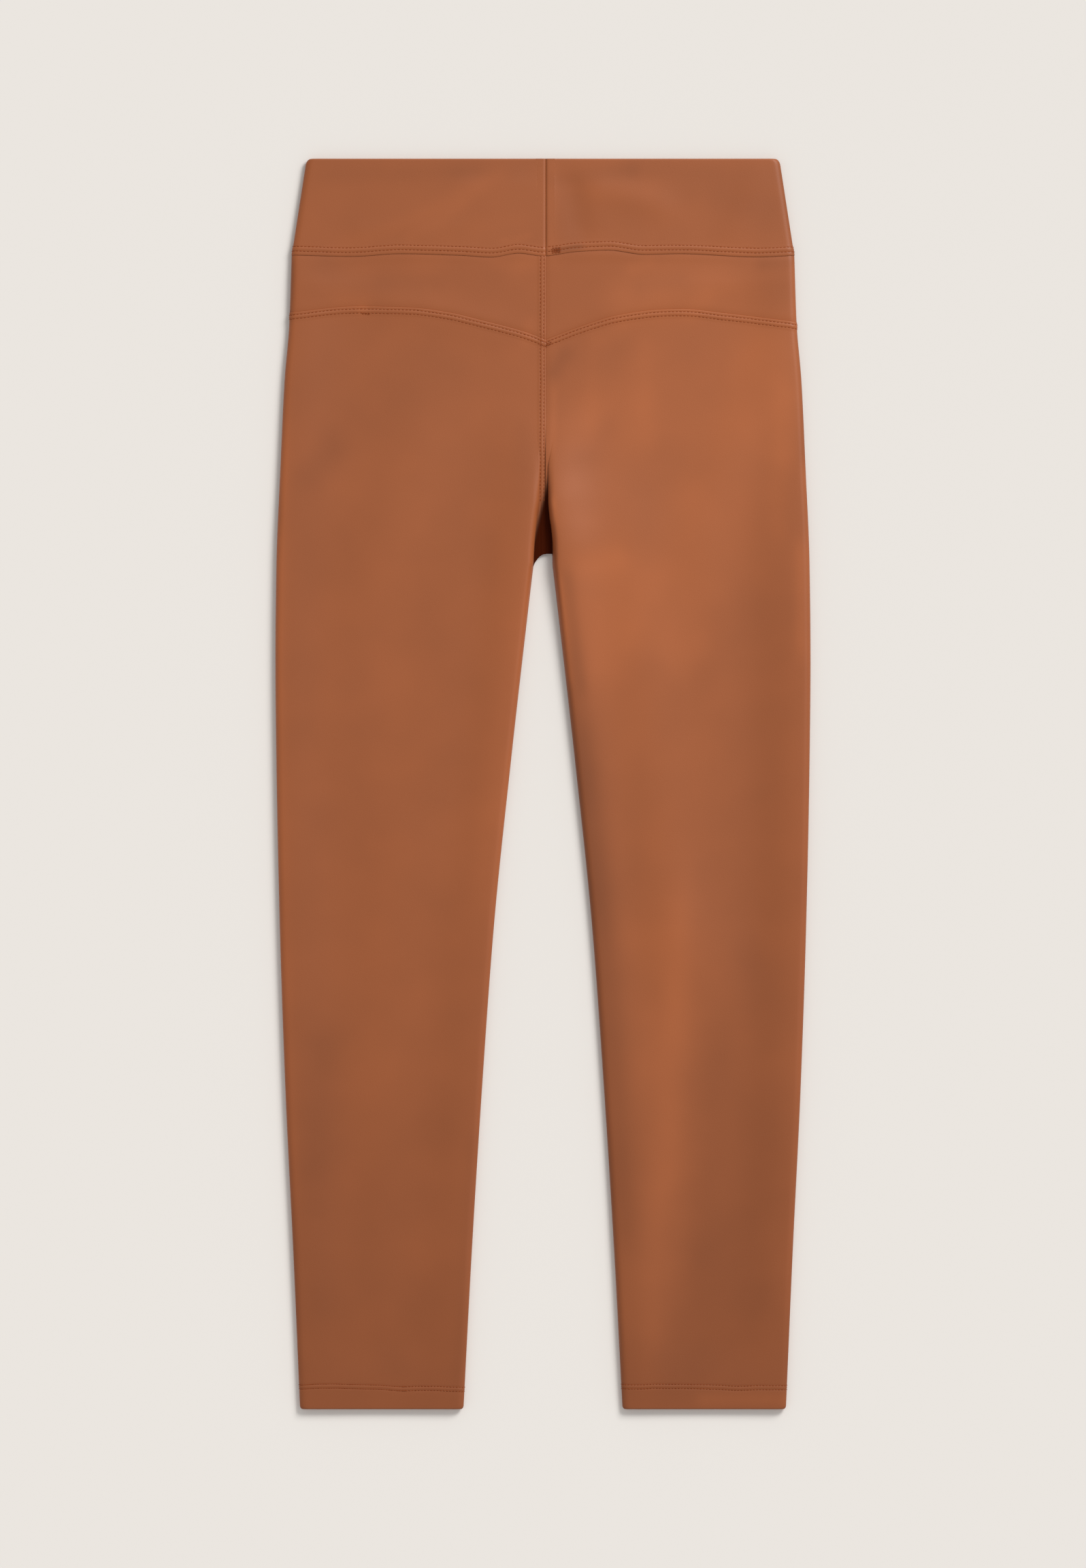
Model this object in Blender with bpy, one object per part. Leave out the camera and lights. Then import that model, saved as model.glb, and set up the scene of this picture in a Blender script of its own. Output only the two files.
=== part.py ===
"""Faux leather leggings laid flat with the back up.

Nine cut pieces: a doubled waistband in three parts, a pointed yoke in two, two back legs and two
front legs. The front lies on the surface and the back lies on it. +Y runs from the hems to the
waist and +Z up. Tables and sizes are in millimetres, heights are measured from the hem folds and
the meshes are in metres.
"""

import math
from collections import namedtuple

import bmesh
import bpy

MM = 0.001

# Driving sizes
LENGTH = 918.0  # from the hem folds to the waist fold
BAND_SEAM_HEIGHT = 847.0  # where the waistband is sewn on, at the sides and the front
WAIST_HALF_WIDTH = 173.6
CLOTH = 1.2  # coated knit, one layer
BAND_WALL = 2.6  # the waistband's cloth, doubled over its top fold
HEM_WALL = 2.4  # the hem's cloth, turned up inside
HEM_DEPTH = 16.5
SEAM_GAP = 0.3
LAY_GAP = 0.3  # between the back and the front where they lie on each other
SEAM_X = 2.0  # the centre seams, a little to one side as the garment lies

# The side folds and seams
ROLL = 5.0  # how far the rounding of a side reaches in from the edge
LOOP_FADE = 26.0  # how fast the springy side loop sinks to the flat middle
SIDE_SEAM_Z = 2.9
HEM_CORNER = 2.6
BAND_CORNER = 4.5
CORNER_SHARE = 0.7  # how much of a corner's radius its end is taken in
FOLD_SHARE = 0.62  # how much of the half wall a fold's end is taken in
LAP_WIDTH = 6.8  # the folded seam edge that the twin needle holds down
BAND_LAP_WIDTH = 7.6
LAP_RISE = 0.5
LAP_STEP = 0.15  # the share of its width over which a folded edge rises

# Half widths from the middle line: (height, half width)
OUTER_SIDE = (
    (0, 178.4),
    (115, 183.4),
    (235, 189.2),
    (355, 193.3),
    (475, 195.8),
    (550, 196.5),
    (620, 195.8),
    (690, 192.9),
    (755, 189.8),
    (797, 186.3),
    (BAND_SEAM_HEIGHT, 184.6),
)
INNER_SIDE = (
    (0, 58.4),
    (115, 52.3),
    (235, 44.8),
    (355, 36.0),
    (475, 23.6),
    (595, 9.9),
    (620, 6.9),
)

# The outer face of the back above the surface: (height, z)
MIDDLE_Z = (
    (0, 5.4),
    (18, 5.2),
    (50, 4.1),
    (200, 3.9),
    (400, 4.3),
    (560, 5.0),
    (640, 5.7),
    (720, 5.0),
    (790, 4.6),
    (840, 5.2),
    (852, 5.9),
    (LENGTH, 5.9),
)
OUTER_LOOP_Z = (
    (0, 5.7),
    (100, 6.2),
    (300, 6.7),
    (600, 7.4),
    (750, 7.0),
    (BAND_SEAM_HEIGHT, 6.5),
    (LENGTH, 6.2),
)
INNER_LOOP_Z = (
    (0, 5.7),
    (100, 6.3),
    (300, 7.0),
    (450, 8.0),
    (560, 10.2),
    (620, 12.6),
    (660, 12.4),
    (690, 9.8),
    (715, 6.8),
    (745, 5.0),
    (790, 4.6),
    (840, 5.2),
    (852, 5.9),
    (LENGTH, 5.9),
)
INSEAM_Z = ((0, 2.9), (450, 2.9), (560, 2.3), (615, 1.5))

# The valley that the centre back seam sinks into above the crotch
CROTCH = {-1: 620.0, 1: 628.0}  # height where each leg leaves the body
CROTCH_LIFT = {-1: 7.8, 1: 0.0}  # how far the crotch edge climbs to the seam
CROTCH_LIFT_FADE = 20.0
CROTCH_CURVE = 1.5
Valley = namedtuple("Valley", "height left_reach right_reach sink")
VALLEY = (
    Valley(620, 8.8, 5.0, 1.0),
    Valley(635, 8.0, 4.8, 1.0),
    Valley(645, 7.1, 4.0, 1.0),
    Valley(656, 6.0, 2.4, 0.95),
    Valley(668, 4.7, 1.5, 0.75),
    Valley(690, 4.2, 1.5, 0.3),
    Valley(706, 5.6, 4.4, 0.03),
    Valley(722, LAP_WIDTH, LAP_WIDTH, 0.0),
    Valley(LENGTH, LAP_WIDTH, LAP_WIDTH, 0.0),
)

# Seam lines across the back
YOKE_SEAM = {  # (distance from the centre back seam, height)
    -1: ((0, 785.2), (17, 791.4), (47, 799.4), (72, 805.3), (100, 808.8), (138, 809.7), (187, 805.1)),
    1: ((0, 785.2), (25, 794.7), (53, 803.2), (83, 807.2), (100, 807.7), (130, 804.8), (184, 798.0)),
}
BAND_SEAM = (  # (x, height), with the slight waves that the stitching leaves
    (-186, 847.3),
    (-140, 846.2),
    (-105, 848.2),
    (-60, 847.0),
    (-38, 845.7),
    (-18, 848.6),
    (0, 846.6),
    (24, 849.7),
    (48, 850.8),
    (75, 847.7),
    (100, 848.2),
    (158, 845.8),
    (186, 847.0),
)

# Soft ridges and hollows that the cloth keeps as it lies
Crease = namedtuple("Crease", "x_low low x_high high half_width rise")
CREASES = (
    Crease(72, 60, 96, 350, 24, 1.6),
    Crease(96, 350, 58, 640, 28, 1.8),
    Crease(146, 130, 156, 360, 20, -0.6),
    Crease(156, 360, 150, 610, 22, -0.8),
    Crease(118, 650, 160, 750, 20, 0.9),
    Crease(-120, 80, -108, 400, 26, 0.7),
    Crease(-150, 520, -96, 700, 26, 0.8),
    Crease(-60, 420, -40, 610, 18, -0.6),
    Crease(-150, 822, -60, 800, 14, 0.6),
    Crease(70, 812, 130, 826, 14, 0.6),
)
CREASE_FADE = 45.0
BAND_FADE = 20.0  # the creases end over this height below the waistband

# The front's inner edge turns up beside the back's, but lies flat under the crotch
TURN_END = 600.0
TURN_FADE = 110.0
FRONT_WEB_RECESS = 1.2  # the front's crotch edge hides under the back's

# The sections that are read across and along the pieces
OUTER_ROLL_ANGLES = (0, 32, 61, 90)
INNER_ROLL_ANGLES = (90, 62, 38, 17, 0)
BACK_MIDDLE_COLUMNS = 12
FRONT_MIDDLE_COLUMNS = 5
FLOOR_SHARES = (0.16, 0.4, 0.7, 1.0)
WEB_SHARES = (0.3, 0.65, 1.0)
HEM_ROWS = (0, 1.2, HEM_CORNER, 9, HEM_DEPTH, HEM_DEPTH + 1.2, 36)
LEG_ROWS = (70, 112, 155, 198, 241, 284, 327, 370, 413, 452, 488, 522, 552, 576, 596, 610, 617)
CROTCH_ROWS = (0, 6, 12, 20, 29, 38, 48, 59, 70, 84, 102)  # above the crotch
SEAT_LOW = 745.0
SEAT_SHARES = (0.4, 0.75)  # from SEAT_LOW to the yoke's folded edge
YOKE_SHARES = (0.0, 0.25, 0.5, 0.75, 1.0)
BAND_ROWS = (878, 900, LENGTH - BAND_CORNER, LENGTH - 1.3, LENGTH)
FRONT_LEG_ROWS = (80, 150, 220, 290, 360, 430, 490, 540, 575, 600, 616)
FRONT_BODY_ROWS = (0, 6, 22, 60, 110, 165)  # above the crotch
YOKE_HEIGHT = 800.0  # where the columns' places are read for the yoke seam

Point = namedtuple("Point", "outer inner")  # one point of a wall, on each of its faces


def read(table, at):
    """The value of a (place, value) table at one place, on a smooth curve that never overshoots."""
    if at <= table[0][0]:
        return table[0][1]
    if at >= table[-1][0]:
        return table[-1][1]
    i = max(k for k in range(len(table) - 1) if table[k][0] <= at)
    slopes = [
        (after[1] - before[1]) / (after[0] - before[0])
        for before, after in zip(table[:-1], table[1:])
    ]

    def lean(k):
        if k in (0, len(table) - 1):
            return slopes[min(k, len(slopes) - 1)]
        before, after = slopes[k - 1], slopes[k]
        return 0.0 if before * after <= 0 else 2 * before * after / (before + after)

    (x0, y0), (x1, y1) = table[i], table[i + 1]
    step = x1 - x0
    t = (at - x0) / step
    return (
        y0 * (1 + 2 * t) * (1 - t) ** 2
        + y1 * t * t * (3 - 2 * t)
        + step * (lean(i) * t * (1 - t) ** 2 - lean(i + 1) * t * t * (1 - t))
    )


def mix(a, b, share):
    return a + (b - a) * share


def within(value):
    """The value kept from 0 to 1."""
    return min(1.0, max(0.0, value))


def valley(column, height):
    return read([(row.height, getattr(row, column)) for row in VALLEY], height)


def round_off(distance, radius):
    """How much of a quarter circle's radius is lost at a distance from its end."""
    if distance >= radius:
        return 0.0
    return 1 - math.sqrt(1 - (1 - distance / radius) ** 2)


def outer_side(height):
    """Half width of the garment at a height."""
    if height <= BAND_SEAM_HEIGHT:
        corner = HEM_CORNER * CORNER_SHARE * round_off(height, HEM_CORNER)
        return read(OUTER_SIDE, height) - corner
    share = (height - BAND_SEAM_HEIGHT) / (LENGTH - BAND_SEAM_HEIGHT)
    corner = BAND_CORNER * CORNER_SHARE * round_off(LENGTH - height, BAND_CORNER)
    return mix(OUTER_SIDE[-1][1], WAIST_HALF_WIDTH, share) - corner


def leg_inner_side(height):
    """Distance of a leg's inner edge from the middle line."""
    return read(INNER_SIDE, height) + HEM_CORNER * CORNER_SHARE * round_off(height, HEM_CORNER)


def inner_side(side, height):
    """Where a back piece turns down: its leg's inner edge, or above the crotch the valley's wall."""
    if height < CROTCH[side]:
        return leg_inner_side(height)
    return side * SEAM_X + valley("left_reach" if side < 0 else "right_reach", height)


def creases(x, height):
    """The rise of the soft ridges and hollows at a point."""
    total = 0.0
    for crease in CREASES:
        dx, dy = crease.x_high - crease.x_low, crease.high - crease.low
        length = math.hypot(dx, dy)
        along = ((x - crease.x_low) * dx + (height - crease.low) * dy) / length
        across = ((x - crease.x_low) * dy - (height - crease.low) * dx) / length
        past = max(0.0, -along, along - length)
        total += crease.rise * math.exp(-((across / crease.half_width) ** 2) - (past / CREASE_FADE) ** 2)
    return total


def loop(distance):
    """The share of a side loop's spring that is left at a distance from the edge."""
    return math.exp(-((max(distance - ROLL, 0.0) / LOOP_FADE) ** 2))


def face_height(side, q, height):
    """The back's outer face, without its rounded sides. q is the distance from the middle line."""
    middle = read(MIDDLE_Z, height)
    outer = (read(OUTER_LOOP_Z, height) - middle) * loop(outer_side(height) - q)
    inner = (read(INNER_LOOP_Z, height) - middle) * loop(q - inner_side(side, height))
    fade = within(height / HEM_DEPTH) * within((BAND_SEAM_HEIGHT - height) / BAND_FADE)
    return middle + outer + inner + fade * creases(side * q, height)


def valley_floor(side, height):
    """The outer face between the valley's walls, which lies on the front at the crotch."""
    bottom = CLOTH + LAY_GAP + CLOTH
    return mix(face_height(side, inner_side(side, height), height), bottom, valley("sink", height))


def lap(distance, width=LAP_WIDTH):
    """The rise of a folded seam edge at a distance from its seam."""
    return LAP_RISE * within((width - distance) / (LAP_STEP * width))


def fold_inset(distance, wall):
    """How far each face comes in near a fold, so that the doubled cloth ends in a round edge."""
    return FOLD_SHARE * wall / 2 * round_off(distance, wall / 2)


def roll(angle, wall):
    """A rolled side at an angle: how far in from the edge each face is, and its share of the rise."""
    turned = 1 - math.cos(math.radians(angle))
    return ROLL * turned, mix(wall, ROLL, turned), math.sin(math.radians(angle))


def point_at(side, height, across, across_inner, z, z_inner):
    y = (height - LENGTH / 2) * MM
    return Point((side * across * MM, y, z * MM), (side * across_inner * MM, y, z_inner * MM))


def back_columns():
    """The kinds of place across a back piece, from its outer side to the centre back seam."""
    steps = BACK_MIDDLE_COLUMNS + 1
    return (
        [("outer roll", angle) for angle in OUTER_ROLL_ANGLES]
        + [("middle", k / steps) for k in range(1, steps)]
        + [("inner roll", angle) for angle in INNER_ROLL_ANGLES]
        + [("floor", share) for share in FLOOR_SHARES]
    )


def back_point(side, column, height, wall=CLOTH, raised=0.0, inset=0.0):
    """One point of a back piece's wall, or None where a leg has no cloth beside its inner edge."""
    kind, value = column
    in_leg = height < CROTCH[side]
    wide, near = outer_side(height), inner_side(side, height)
    seam = side * SEAM_X + SEAM_GAP / 2
    rise = 1.0
    low = low_inner = 0.0
    if kind == "outer roll":
        into, into_inner, rise = roll(value, wall)
        across, across_inner = wide - into, wide - into_inner
        low = low_inner = SIDE_SEAM_Z + SEAM_GAP / 2
    elif kind == "middle":
        across = across_inner = mix(wide - ROLL, near + ROLL, value)
    elif kind == "inner roll":
        into, into_inner, rise = roll(value, wall)
        across, across_inner = near + into, near + into_inner
        low = read(INSEAM_Z, height) + SEAM_GAP / 2 if in_leg else valley_floor(side, height)
        low_inner = low if in_leg else low - wall
    elif in_leg:
        return None
    else:
        rise = 0.0
        across, across_inner = mix(near, seam, value), mix(near + wall, seam, value)
        low = valley_floor(side, height)
        low_inner = low - wall
        if side < 0 and wall == CLOTH:  # below the waistband the seam is folded to the left
            low += lap(across - seam)
    top = face_height(side, across, height)
    top_inner = face_height(side, across_inner, height) - wall
    z = mix(low, top, rise) + raised * max(rise, 1 - valley("sink", height)) - inset * rise
    z_inner = mix(low_inner, top_inner, rise) + inset * rise
    return point_at(side, height, across, across_inner, z, z_inner)


def column_place(side, column, height):
    """The distance of a column from the middle line at a height."""
    return side * back_point(side, column, height).outer[0] / MM


def yoke_seam(side, column):
    return read(YOKE_SEAM[side], column_place(side, column, YOKE_HEIGHT) - side * SEAM_X)


def band_seam(side, column):
    return read(BAND_SEAM, side * column_place(side, column, BAND_SEAM_HEIGHT))


def hem_wall(height):
    """The wall near the hem and how far its fold is rounded off."""
    if height > HEM_DEPTH:
        return CLOTH, 0.0
    return HEM_WALL, fold_inset(height, HEM_WALL)


def crotch_lift(side, share, above):
    """The climb of a point near the crotch, so that the edge between the legs curves up to the seam."""
    fade = within(1 - above / CROTCH_LIFT_FADE)
    return CROTCH_LIFT[side] * (1 - (1 - share) ** CROTCH_CURVE) * fade


def leg_back_rows(side):
    """The back leg from its hem fold to the yoke seam, with its top edge folded under."""
    columns = back_columns()
    rows = []
    for height in (*HEM_ROWS, *LEG_ROWS):
        wall, inset = hem_wall(height)
        rows.append([back_point(side, column, height, wall, inset=inset) for column in columns])
    for above in CROTCH_ROWS:
        row = []
        for column in columns:
            lift = crotch_lift(side, column[1] if column[0] == "floor" else 0.0, above)
            row.append(back_point(side, column, CROTCH[side] + above + lift))
        rows.append(row)
    edges = [(column, yoke_seam(side, column)) for column in columns]
    for share in SEAT_SHARES:
        rows.append(
            [back_point(side, column, mix(SEAT_LOW, seam - LAP_WIDTH, share)) for column, seam in edges]
        )
    for below in (LAP_WIDTH, (1 - LAP_STEP) * LAP_WIDTH, SEAM_GAP / 2):
        rows.append([back_point(side, column, seam - below, raised=lap(below)) for column, seam in edges])
    return rows


def yoke_rows(side):
    """The yoke between the pointed seam and the waistband seam."""
    rows = []
    for share in YOKE_SHARES:
        row = []
        for column in back_columns():
            low = yoke_seam(side, column) + SEAM_GAP / 2
            high = band_seam(side, column) - SEAM_GAP / 2
            row.append(back_point(side, column, mix(low, high, share)))
        rows.append(row)
    return rows


def band_back_rows(side):
    """Half of the waistband's back, from its seam to its top fold."""
    columns = back_columns()
    rows = []
    for above in (SEAM_GAP / 2, (1 - LAP_STEP) * BAND_LAP_WIDTH, BAND_LAP_WIDTH):
        raised = lap(above, BAND_LAP_WIDTH)
        rows.append(
            [
                back_point(side, column, band_seam(side, column) + above, BAND_WALL, raised)
                for column in columns
            ]
        )
    for height in BAND_ROWS:
        inset = fold_inset(LENGTH - height, BAND_WALL)
        rows.append([back_point(side, column, height, BAND_WALL, inset=inset) for column in columns])
    return rows


def front_crotch(side):
    return CROTCH[side] + FRONT_WEB_RECESS


def front_columns():
    """The kinds of place across a front leg, from its outer side to the centre front seam."""
    steps = FRONT_MIDDLE_COLUMNS + 1
    return (
        [("outer roll", angle) for angle in OUTER_ROLL_ANGLES]
        + [("middle", k / steps) for k in range(1, steps)]
        + [("inner roll", angle) for angle in INNER_ROLL_ANGLES]
        + [("web", share) for share in WEB_SHARES]
    )


def front_point(side, column, height, wall=CLOTH, inset=0.0):
    """One point of a front piece's wall. It lies flat and turns up at its sides."""
    kind, value = column
    in_leg = height < front_crotch(side)
    wide, near = outer_side(height), leg_inner_side(height)
    seam = side * SEAM_X + SEAM_GAP / 2
    flat, turn, rim = 1.0, 1.0, 0.0
    if kind == "outer roll":
        into, into_inner, flat = roll(value, wall)
        across, across_inner = wide - into, wide - into_inner
        rim = SIDE_SEAM_Z - SEAM_GAP / 2
    elif kind == "middle":
        across = across_inner = mix(wide - ROLL, near + ROLL, value)
    elif kind == "inner roll":
        turn = within((TURN_END - height) / TURN_FADE) if in_leg else 0.0
        into, into_inner, flat = roll(value, wall * turn)
        across, across_inner = near + into, near + into_inner
        rim = read(INSEAM_Z, height) - SEAM_GAP / 2
    elif in_leg:
        return None
    else:
        across = across_inner = mix(near, seam, value)
    z = mix(rim * turn, 0.0, flat) + inset * flat
    z_inner = mix(mix(wall, rim, turn), wall, flat) - inset * flat
    return point_at(side, height, across, across_inner, z, z_inner)


def leg_front_rows(side):
    """The plain front leg, from its hem fold to the waistband."""
    columns = front_columns()
    rows = []
    for height in (*HEM_ROWS, *FRONT_LEG_ROWS):
        wall, inset = hem_wall(height)
        rows.append([front_point(side, column, height, wall, inset) for column in columns])
    for above in FRONT_BODY_ROWS:
        row = []
        for column in columns:
            lift = crotch_lift(side, column[1] if column[0] == "web" else 0.0, above)
            row.append(front_point(side, column, front_crotch(side) + above + lift))
        rows.append(row)
    top = BAND_SEAM_HEIGHT - SEAM_GAP / 2
    rows.append([front_point(side, column, top) for column in columns])
    return rows


def band_front_rows():
    """The waistband's front in one piece, from side to side."""
    steps = FRONT_MIDDLE_COLUMNS * 2
    rows = []
    for height in (BAND_SEAM_HEIGHT + SEAM_GAP / 2, *BAND_ROWS):
        inset = fold_inset(LENGTH - height, BAND_WALL)
        left, right = (
            [
                front_point(side, ("outer roll", angle), height, BAND_WALL, inset)
                for angle in OUTER_ROLL_ANGLES
            ]
            for side in (-1, 1)
        )
        middle = [between(left[-1], right[-1], k / steps) for k in range(1, steps)]
        rows.append([*left, *middle, *reversed(right)])
    return rows


def between(a, b, share):
    """A point of a wall part of the way from one point to another."""
    return Point(
        tuple(mix(low, high, share) for low, high in zip(a.outer, b.outer)),
        tuple(mix(low, high, share) for low, high in zip(a.inner, b.inner)),
    )


def wall_mesh(name, rows):
    """A closed wall from rows of points: its outer face, its inner face and the rim round its edge."""
    mesh = bmesh.new()
    outer, inner = {}, {}
    for r, row in enumerate(rows):
        for c, point in enumerate(row):
            if point is not None:
                outer[r, c] = mesh.verts.new(point.outer)
                inner[r, c] = mesh.verts.new(point.inner)
    open_edges = set()
    for r in range(len(rows) - 1):
        for c in range(len(rows[r]) - 1):
            corners = [(r, c), (r, c + 1), (r + 1, c + 1), (r + 1, c)]
            found = [corner for corner in corners if corner in outer]
            if len(found) < 3:
                continue
            mesh.faces.new([outer[corner] for corner in found])
            mesh.faces.new([inner[corner] for corner in reversed(found)])
            for a, b in zip(found, found[1:] + found[:1]):
                if (b, a) in open_edges:
                    open_edges.remove((b, a))
                else:
                    open_edges.add((a, b))
    for a, b in sorted(open_edges):
        mesh.faces.new([outer[b], outer[a], inner[a], inner[b]])
    bmesh.ops.recalc_face_normals(mesh, faces=mesh.faces)
    data = bpy.data.meshes.new(name)
    mesh.to_mesh(data)
    mesh.free()
    return data


def leather(name, colour, roughness):
    """A plain coated cloth material."""
    material = bpy.data.materials.new(name)
    material.use_nodes = True
    shader = material.node_tree.nodes["Principled BSDF"]
    shader.inputs["Base Color"].default_value = (*colour, 1.0)
    shader.inputs["Roughness"].default_value = roughness
    shader.inputs["Metallic"].default_value = 0.0
    return material


def add_piece(name, rows, material, garment):
    """One named piece of cloth, parented to the garment."""
    piece = bpy.data.objects.new(name, wall_mesh(name, rows))
    piece.data.materials.append(material)
    piece.data.shade_smooth()
    piece.data.set_sharp_from_angle(angle=math.radians(50))
    bpy.context.scene.collection.objects.link(piece)
    piece.parent = garment


def main():
    for old in list(bpy.data.objects):
        bpy.data.objects.remove(old)
    garment = bpy.data.objects.new("leggings", None)
    bpy.context.scene.collection.objects.link(garment)
    body = leather("faux_leather", (0.342, 0.108, 0.045), 0.55)
    band = leather("faux_leather_band", (0.352, 0.113, 0.047), 0.55)
    for side, hand in ((-1, "left"), (1, "right")):
        add_piece(f"leg_front_{hand}", leg_front_rows(side), body, garment)
        add_piece(f"leg_back_{hand}", leg_back_rows(side), body, garment)
        add_piece(f"yoke_back_{hand}", yoke_rows(side), body, garment)
        add_piece(f"waistband_back_{hand}", band_back_rows(side), band, garment)
    add_piece("waistband_front", band_front_rows(), band, garment)


main()
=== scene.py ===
# Faux leather leggings laid flat with the back up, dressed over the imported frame.
# Tables are in millimetres, heights are measured from the hem folds, and the meshes are in metres.
import math
from collections import namedtuple

import bmesh
import bpy
import numpy as np
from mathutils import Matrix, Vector


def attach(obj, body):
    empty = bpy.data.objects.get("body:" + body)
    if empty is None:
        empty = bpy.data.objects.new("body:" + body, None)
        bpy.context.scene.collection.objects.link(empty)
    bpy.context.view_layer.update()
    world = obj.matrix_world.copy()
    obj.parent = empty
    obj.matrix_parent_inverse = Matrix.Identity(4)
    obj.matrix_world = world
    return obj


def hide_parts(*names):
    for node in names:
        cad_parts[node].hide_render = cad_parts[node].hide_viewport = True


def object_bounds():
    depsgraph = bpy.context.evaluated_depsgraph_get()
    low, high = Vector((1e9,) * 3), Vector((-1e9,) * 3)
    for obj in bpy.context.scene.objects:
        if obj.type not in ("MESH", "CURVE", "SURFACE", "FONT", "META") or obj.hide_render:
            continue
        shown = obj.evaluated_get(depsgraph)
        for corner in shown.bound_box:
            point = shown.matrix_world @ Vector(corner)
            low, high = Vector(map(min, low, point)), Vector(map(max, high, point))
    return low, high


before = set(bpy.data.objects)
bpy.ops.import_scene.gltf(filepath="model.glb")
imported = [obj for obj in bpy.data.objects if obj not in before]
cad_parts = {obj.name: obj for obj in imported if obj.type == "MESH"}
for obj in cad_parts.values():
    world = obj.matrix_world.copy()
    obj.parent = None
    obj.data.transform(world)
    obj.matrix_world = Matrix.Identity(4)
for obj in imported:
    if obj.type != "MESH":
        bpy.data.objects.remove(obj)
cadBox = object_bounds()
mm = 0.001
sideOf = {"left": -1, "right": 1}
print("frame loaded")

# The garment's cut and how it lies, the same as its solids
length = round((cadBox[1].y - cadBox[0].y) / mm, 3)  # hem folds to waist fold
garment = {
    "bandSeamHeight": 847.0,  # where the waistband is sewn on, at the sides
    "waistHalfWidth": 173.6,
    "cloth": 1.2,
    "bandWall": 2.6,  # cloth doubled over the waist fold
    "hemWall": 2.4,
    "hemDepth": 16.5,
    "seamGap": 0.1,  # the fine slit that shows at a side seam
    "faceOverlap": 0.04,  # sewn edges meet with nothing showing between them
    "layGap": 0.3,
    "seamX": 2.0,  # the centre seams lie a little to one side
    "roll": 5.0,  # how far the rounding of a side reaches in
    "loopFade": 26.0,  # how fast the springy side loop sinks
    "sideSeamZ": 2.9,
    "hemCorner": 2.6,
    "bandCorner": 4.5,
    "cornerShare": 0.7,
    "foldShare": 0.62,
    "crotch": {-1: 620.0, 1: 628.0},
    "crotchLift": {-1: 7.8, 1: 0.0},
    "crotchLiftFade": 20.0,
    "crotchCurve": 2.2,
}
outline = {  # half widths from the middle line: (height, half width)
    "outerSide": (
        (0, 178.4), (115, 183.4), (235, 189.2), (355, 193.3), (475, 195.8), (550, 196.5), (620, 195.8),
        (690, 192.9), (755, 189.8), (797, 186.3), (847, 184.6),
    ),
    "innerSide": (
        (0, 58.4), (115, 52.3), (235, 44.8), (355, 36.0), (475, 23.6), (595, 9.9), (620, 6.9),
    ),
}
lie = {  # the back's outer face above the floor: (height, z)
    "middle": (
        (0, 5.4), (18, 5.2), (50, 4.1), (200, 3.9), (400, 4.3), (560, 5.0), (640, 5.7), (720, 5.0),
        (790, 4.6), (840, 5.2), (852, 5.9), (918, 5.9),
    ),
    "outerLoop": (
        (0, 5.7), (100, 6.2), (300, 6.7), (600, 7.4), (750, 7.0), (847, 6.5), (918, 6.2),
    ),
    "innerLoopLeft": (
        (0, 5.7), (100, 6.2), (300, 6.4), (450, 6.9), (560, 7.8), (620, 9.2), (660, 9.0), (690, 7.6),
        (715, 6.2), (745, 5.0), (790, 4.6), (840, 5.2), (852, 5.9), (918, 5.9),
    ),
    "innerLoopRight": (
        (0, 5.7), (100, 6.3), (300, 6.9), (450, 7.4), (560, 8.8), (605, 10.8), (640, 12.6), (664, 12.2),
        (690, 9.6), (715, 6.8), (745, 5.0), (790, 4.6), (840, 5.2), (852, 5.9), (918, 5.9),
    ),
    "inseam": ((0, 2.9), (450, 2.9), (560, 2.3), (615, 1.5)),
}
valley = {  # the hollow that the centre back seam sinks into above the crotch: (height, value)
    "leftReach": (
        (620, 8.8), (635, 8.0), (645, 7.1), (656, 6.0), (668, 4.7), (690, 4.2), (706, 5.6), (722, 6.8),
        (918, 6.8),
    ),
    "rightReach": (
        (620, 5.0), (635, 4.8), (645, 4.0), (656, 2.4), (668, 1.5), (690, 1.5), (706, 4.4), (722, 6.8),
        (918, 6.8),
    ),
    "sink": (
        (620, 1.0), (645, 1.0), (656, 0.95), (668, 0.75), (690, 0.3), (706, 0.03), (722, 0.0), (918, 0.0),
    ),
}
seamLines = {
    "yoke": {  # (distance from the centre back seam, height)
        -1: ((0, 785.2), (17, 791.4), (47, 799.4), (72, 805.3), (100, 808.8), (138, 809.7), (187, 805.1)),
        1: ((0, 785.2), (25, 794.7), (53, 803.2), (83, 807.2), (100, 807.7), (130, 804.8), (184, 798.0)),
    },
    "yokeReadAt": 800.0,
    "band": (  # (x, height)
        (-186, 847.3), (-140, 846.2), (-105, 848.2), (-60, 847.0), (-38, 845.7), (-18, 848.6), (0, 846.6),
        (24, 849.7), (48, 850.8), (75, 847.7), (100, 848.2), (158, 845.8), (186, 847.0),
    ),
}

# Soft ridges and hollows, and strokes of painted light and shade, listed one by one. bend bows the line
# sideways at its middle.
Fold = namedtuple("Fold", "xLow low xHigh high halfWidth rise fade bend", defaults=(0,))


def foldTable(*rows):
    return tuple(Fold(*row) for row in rows)


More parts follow.
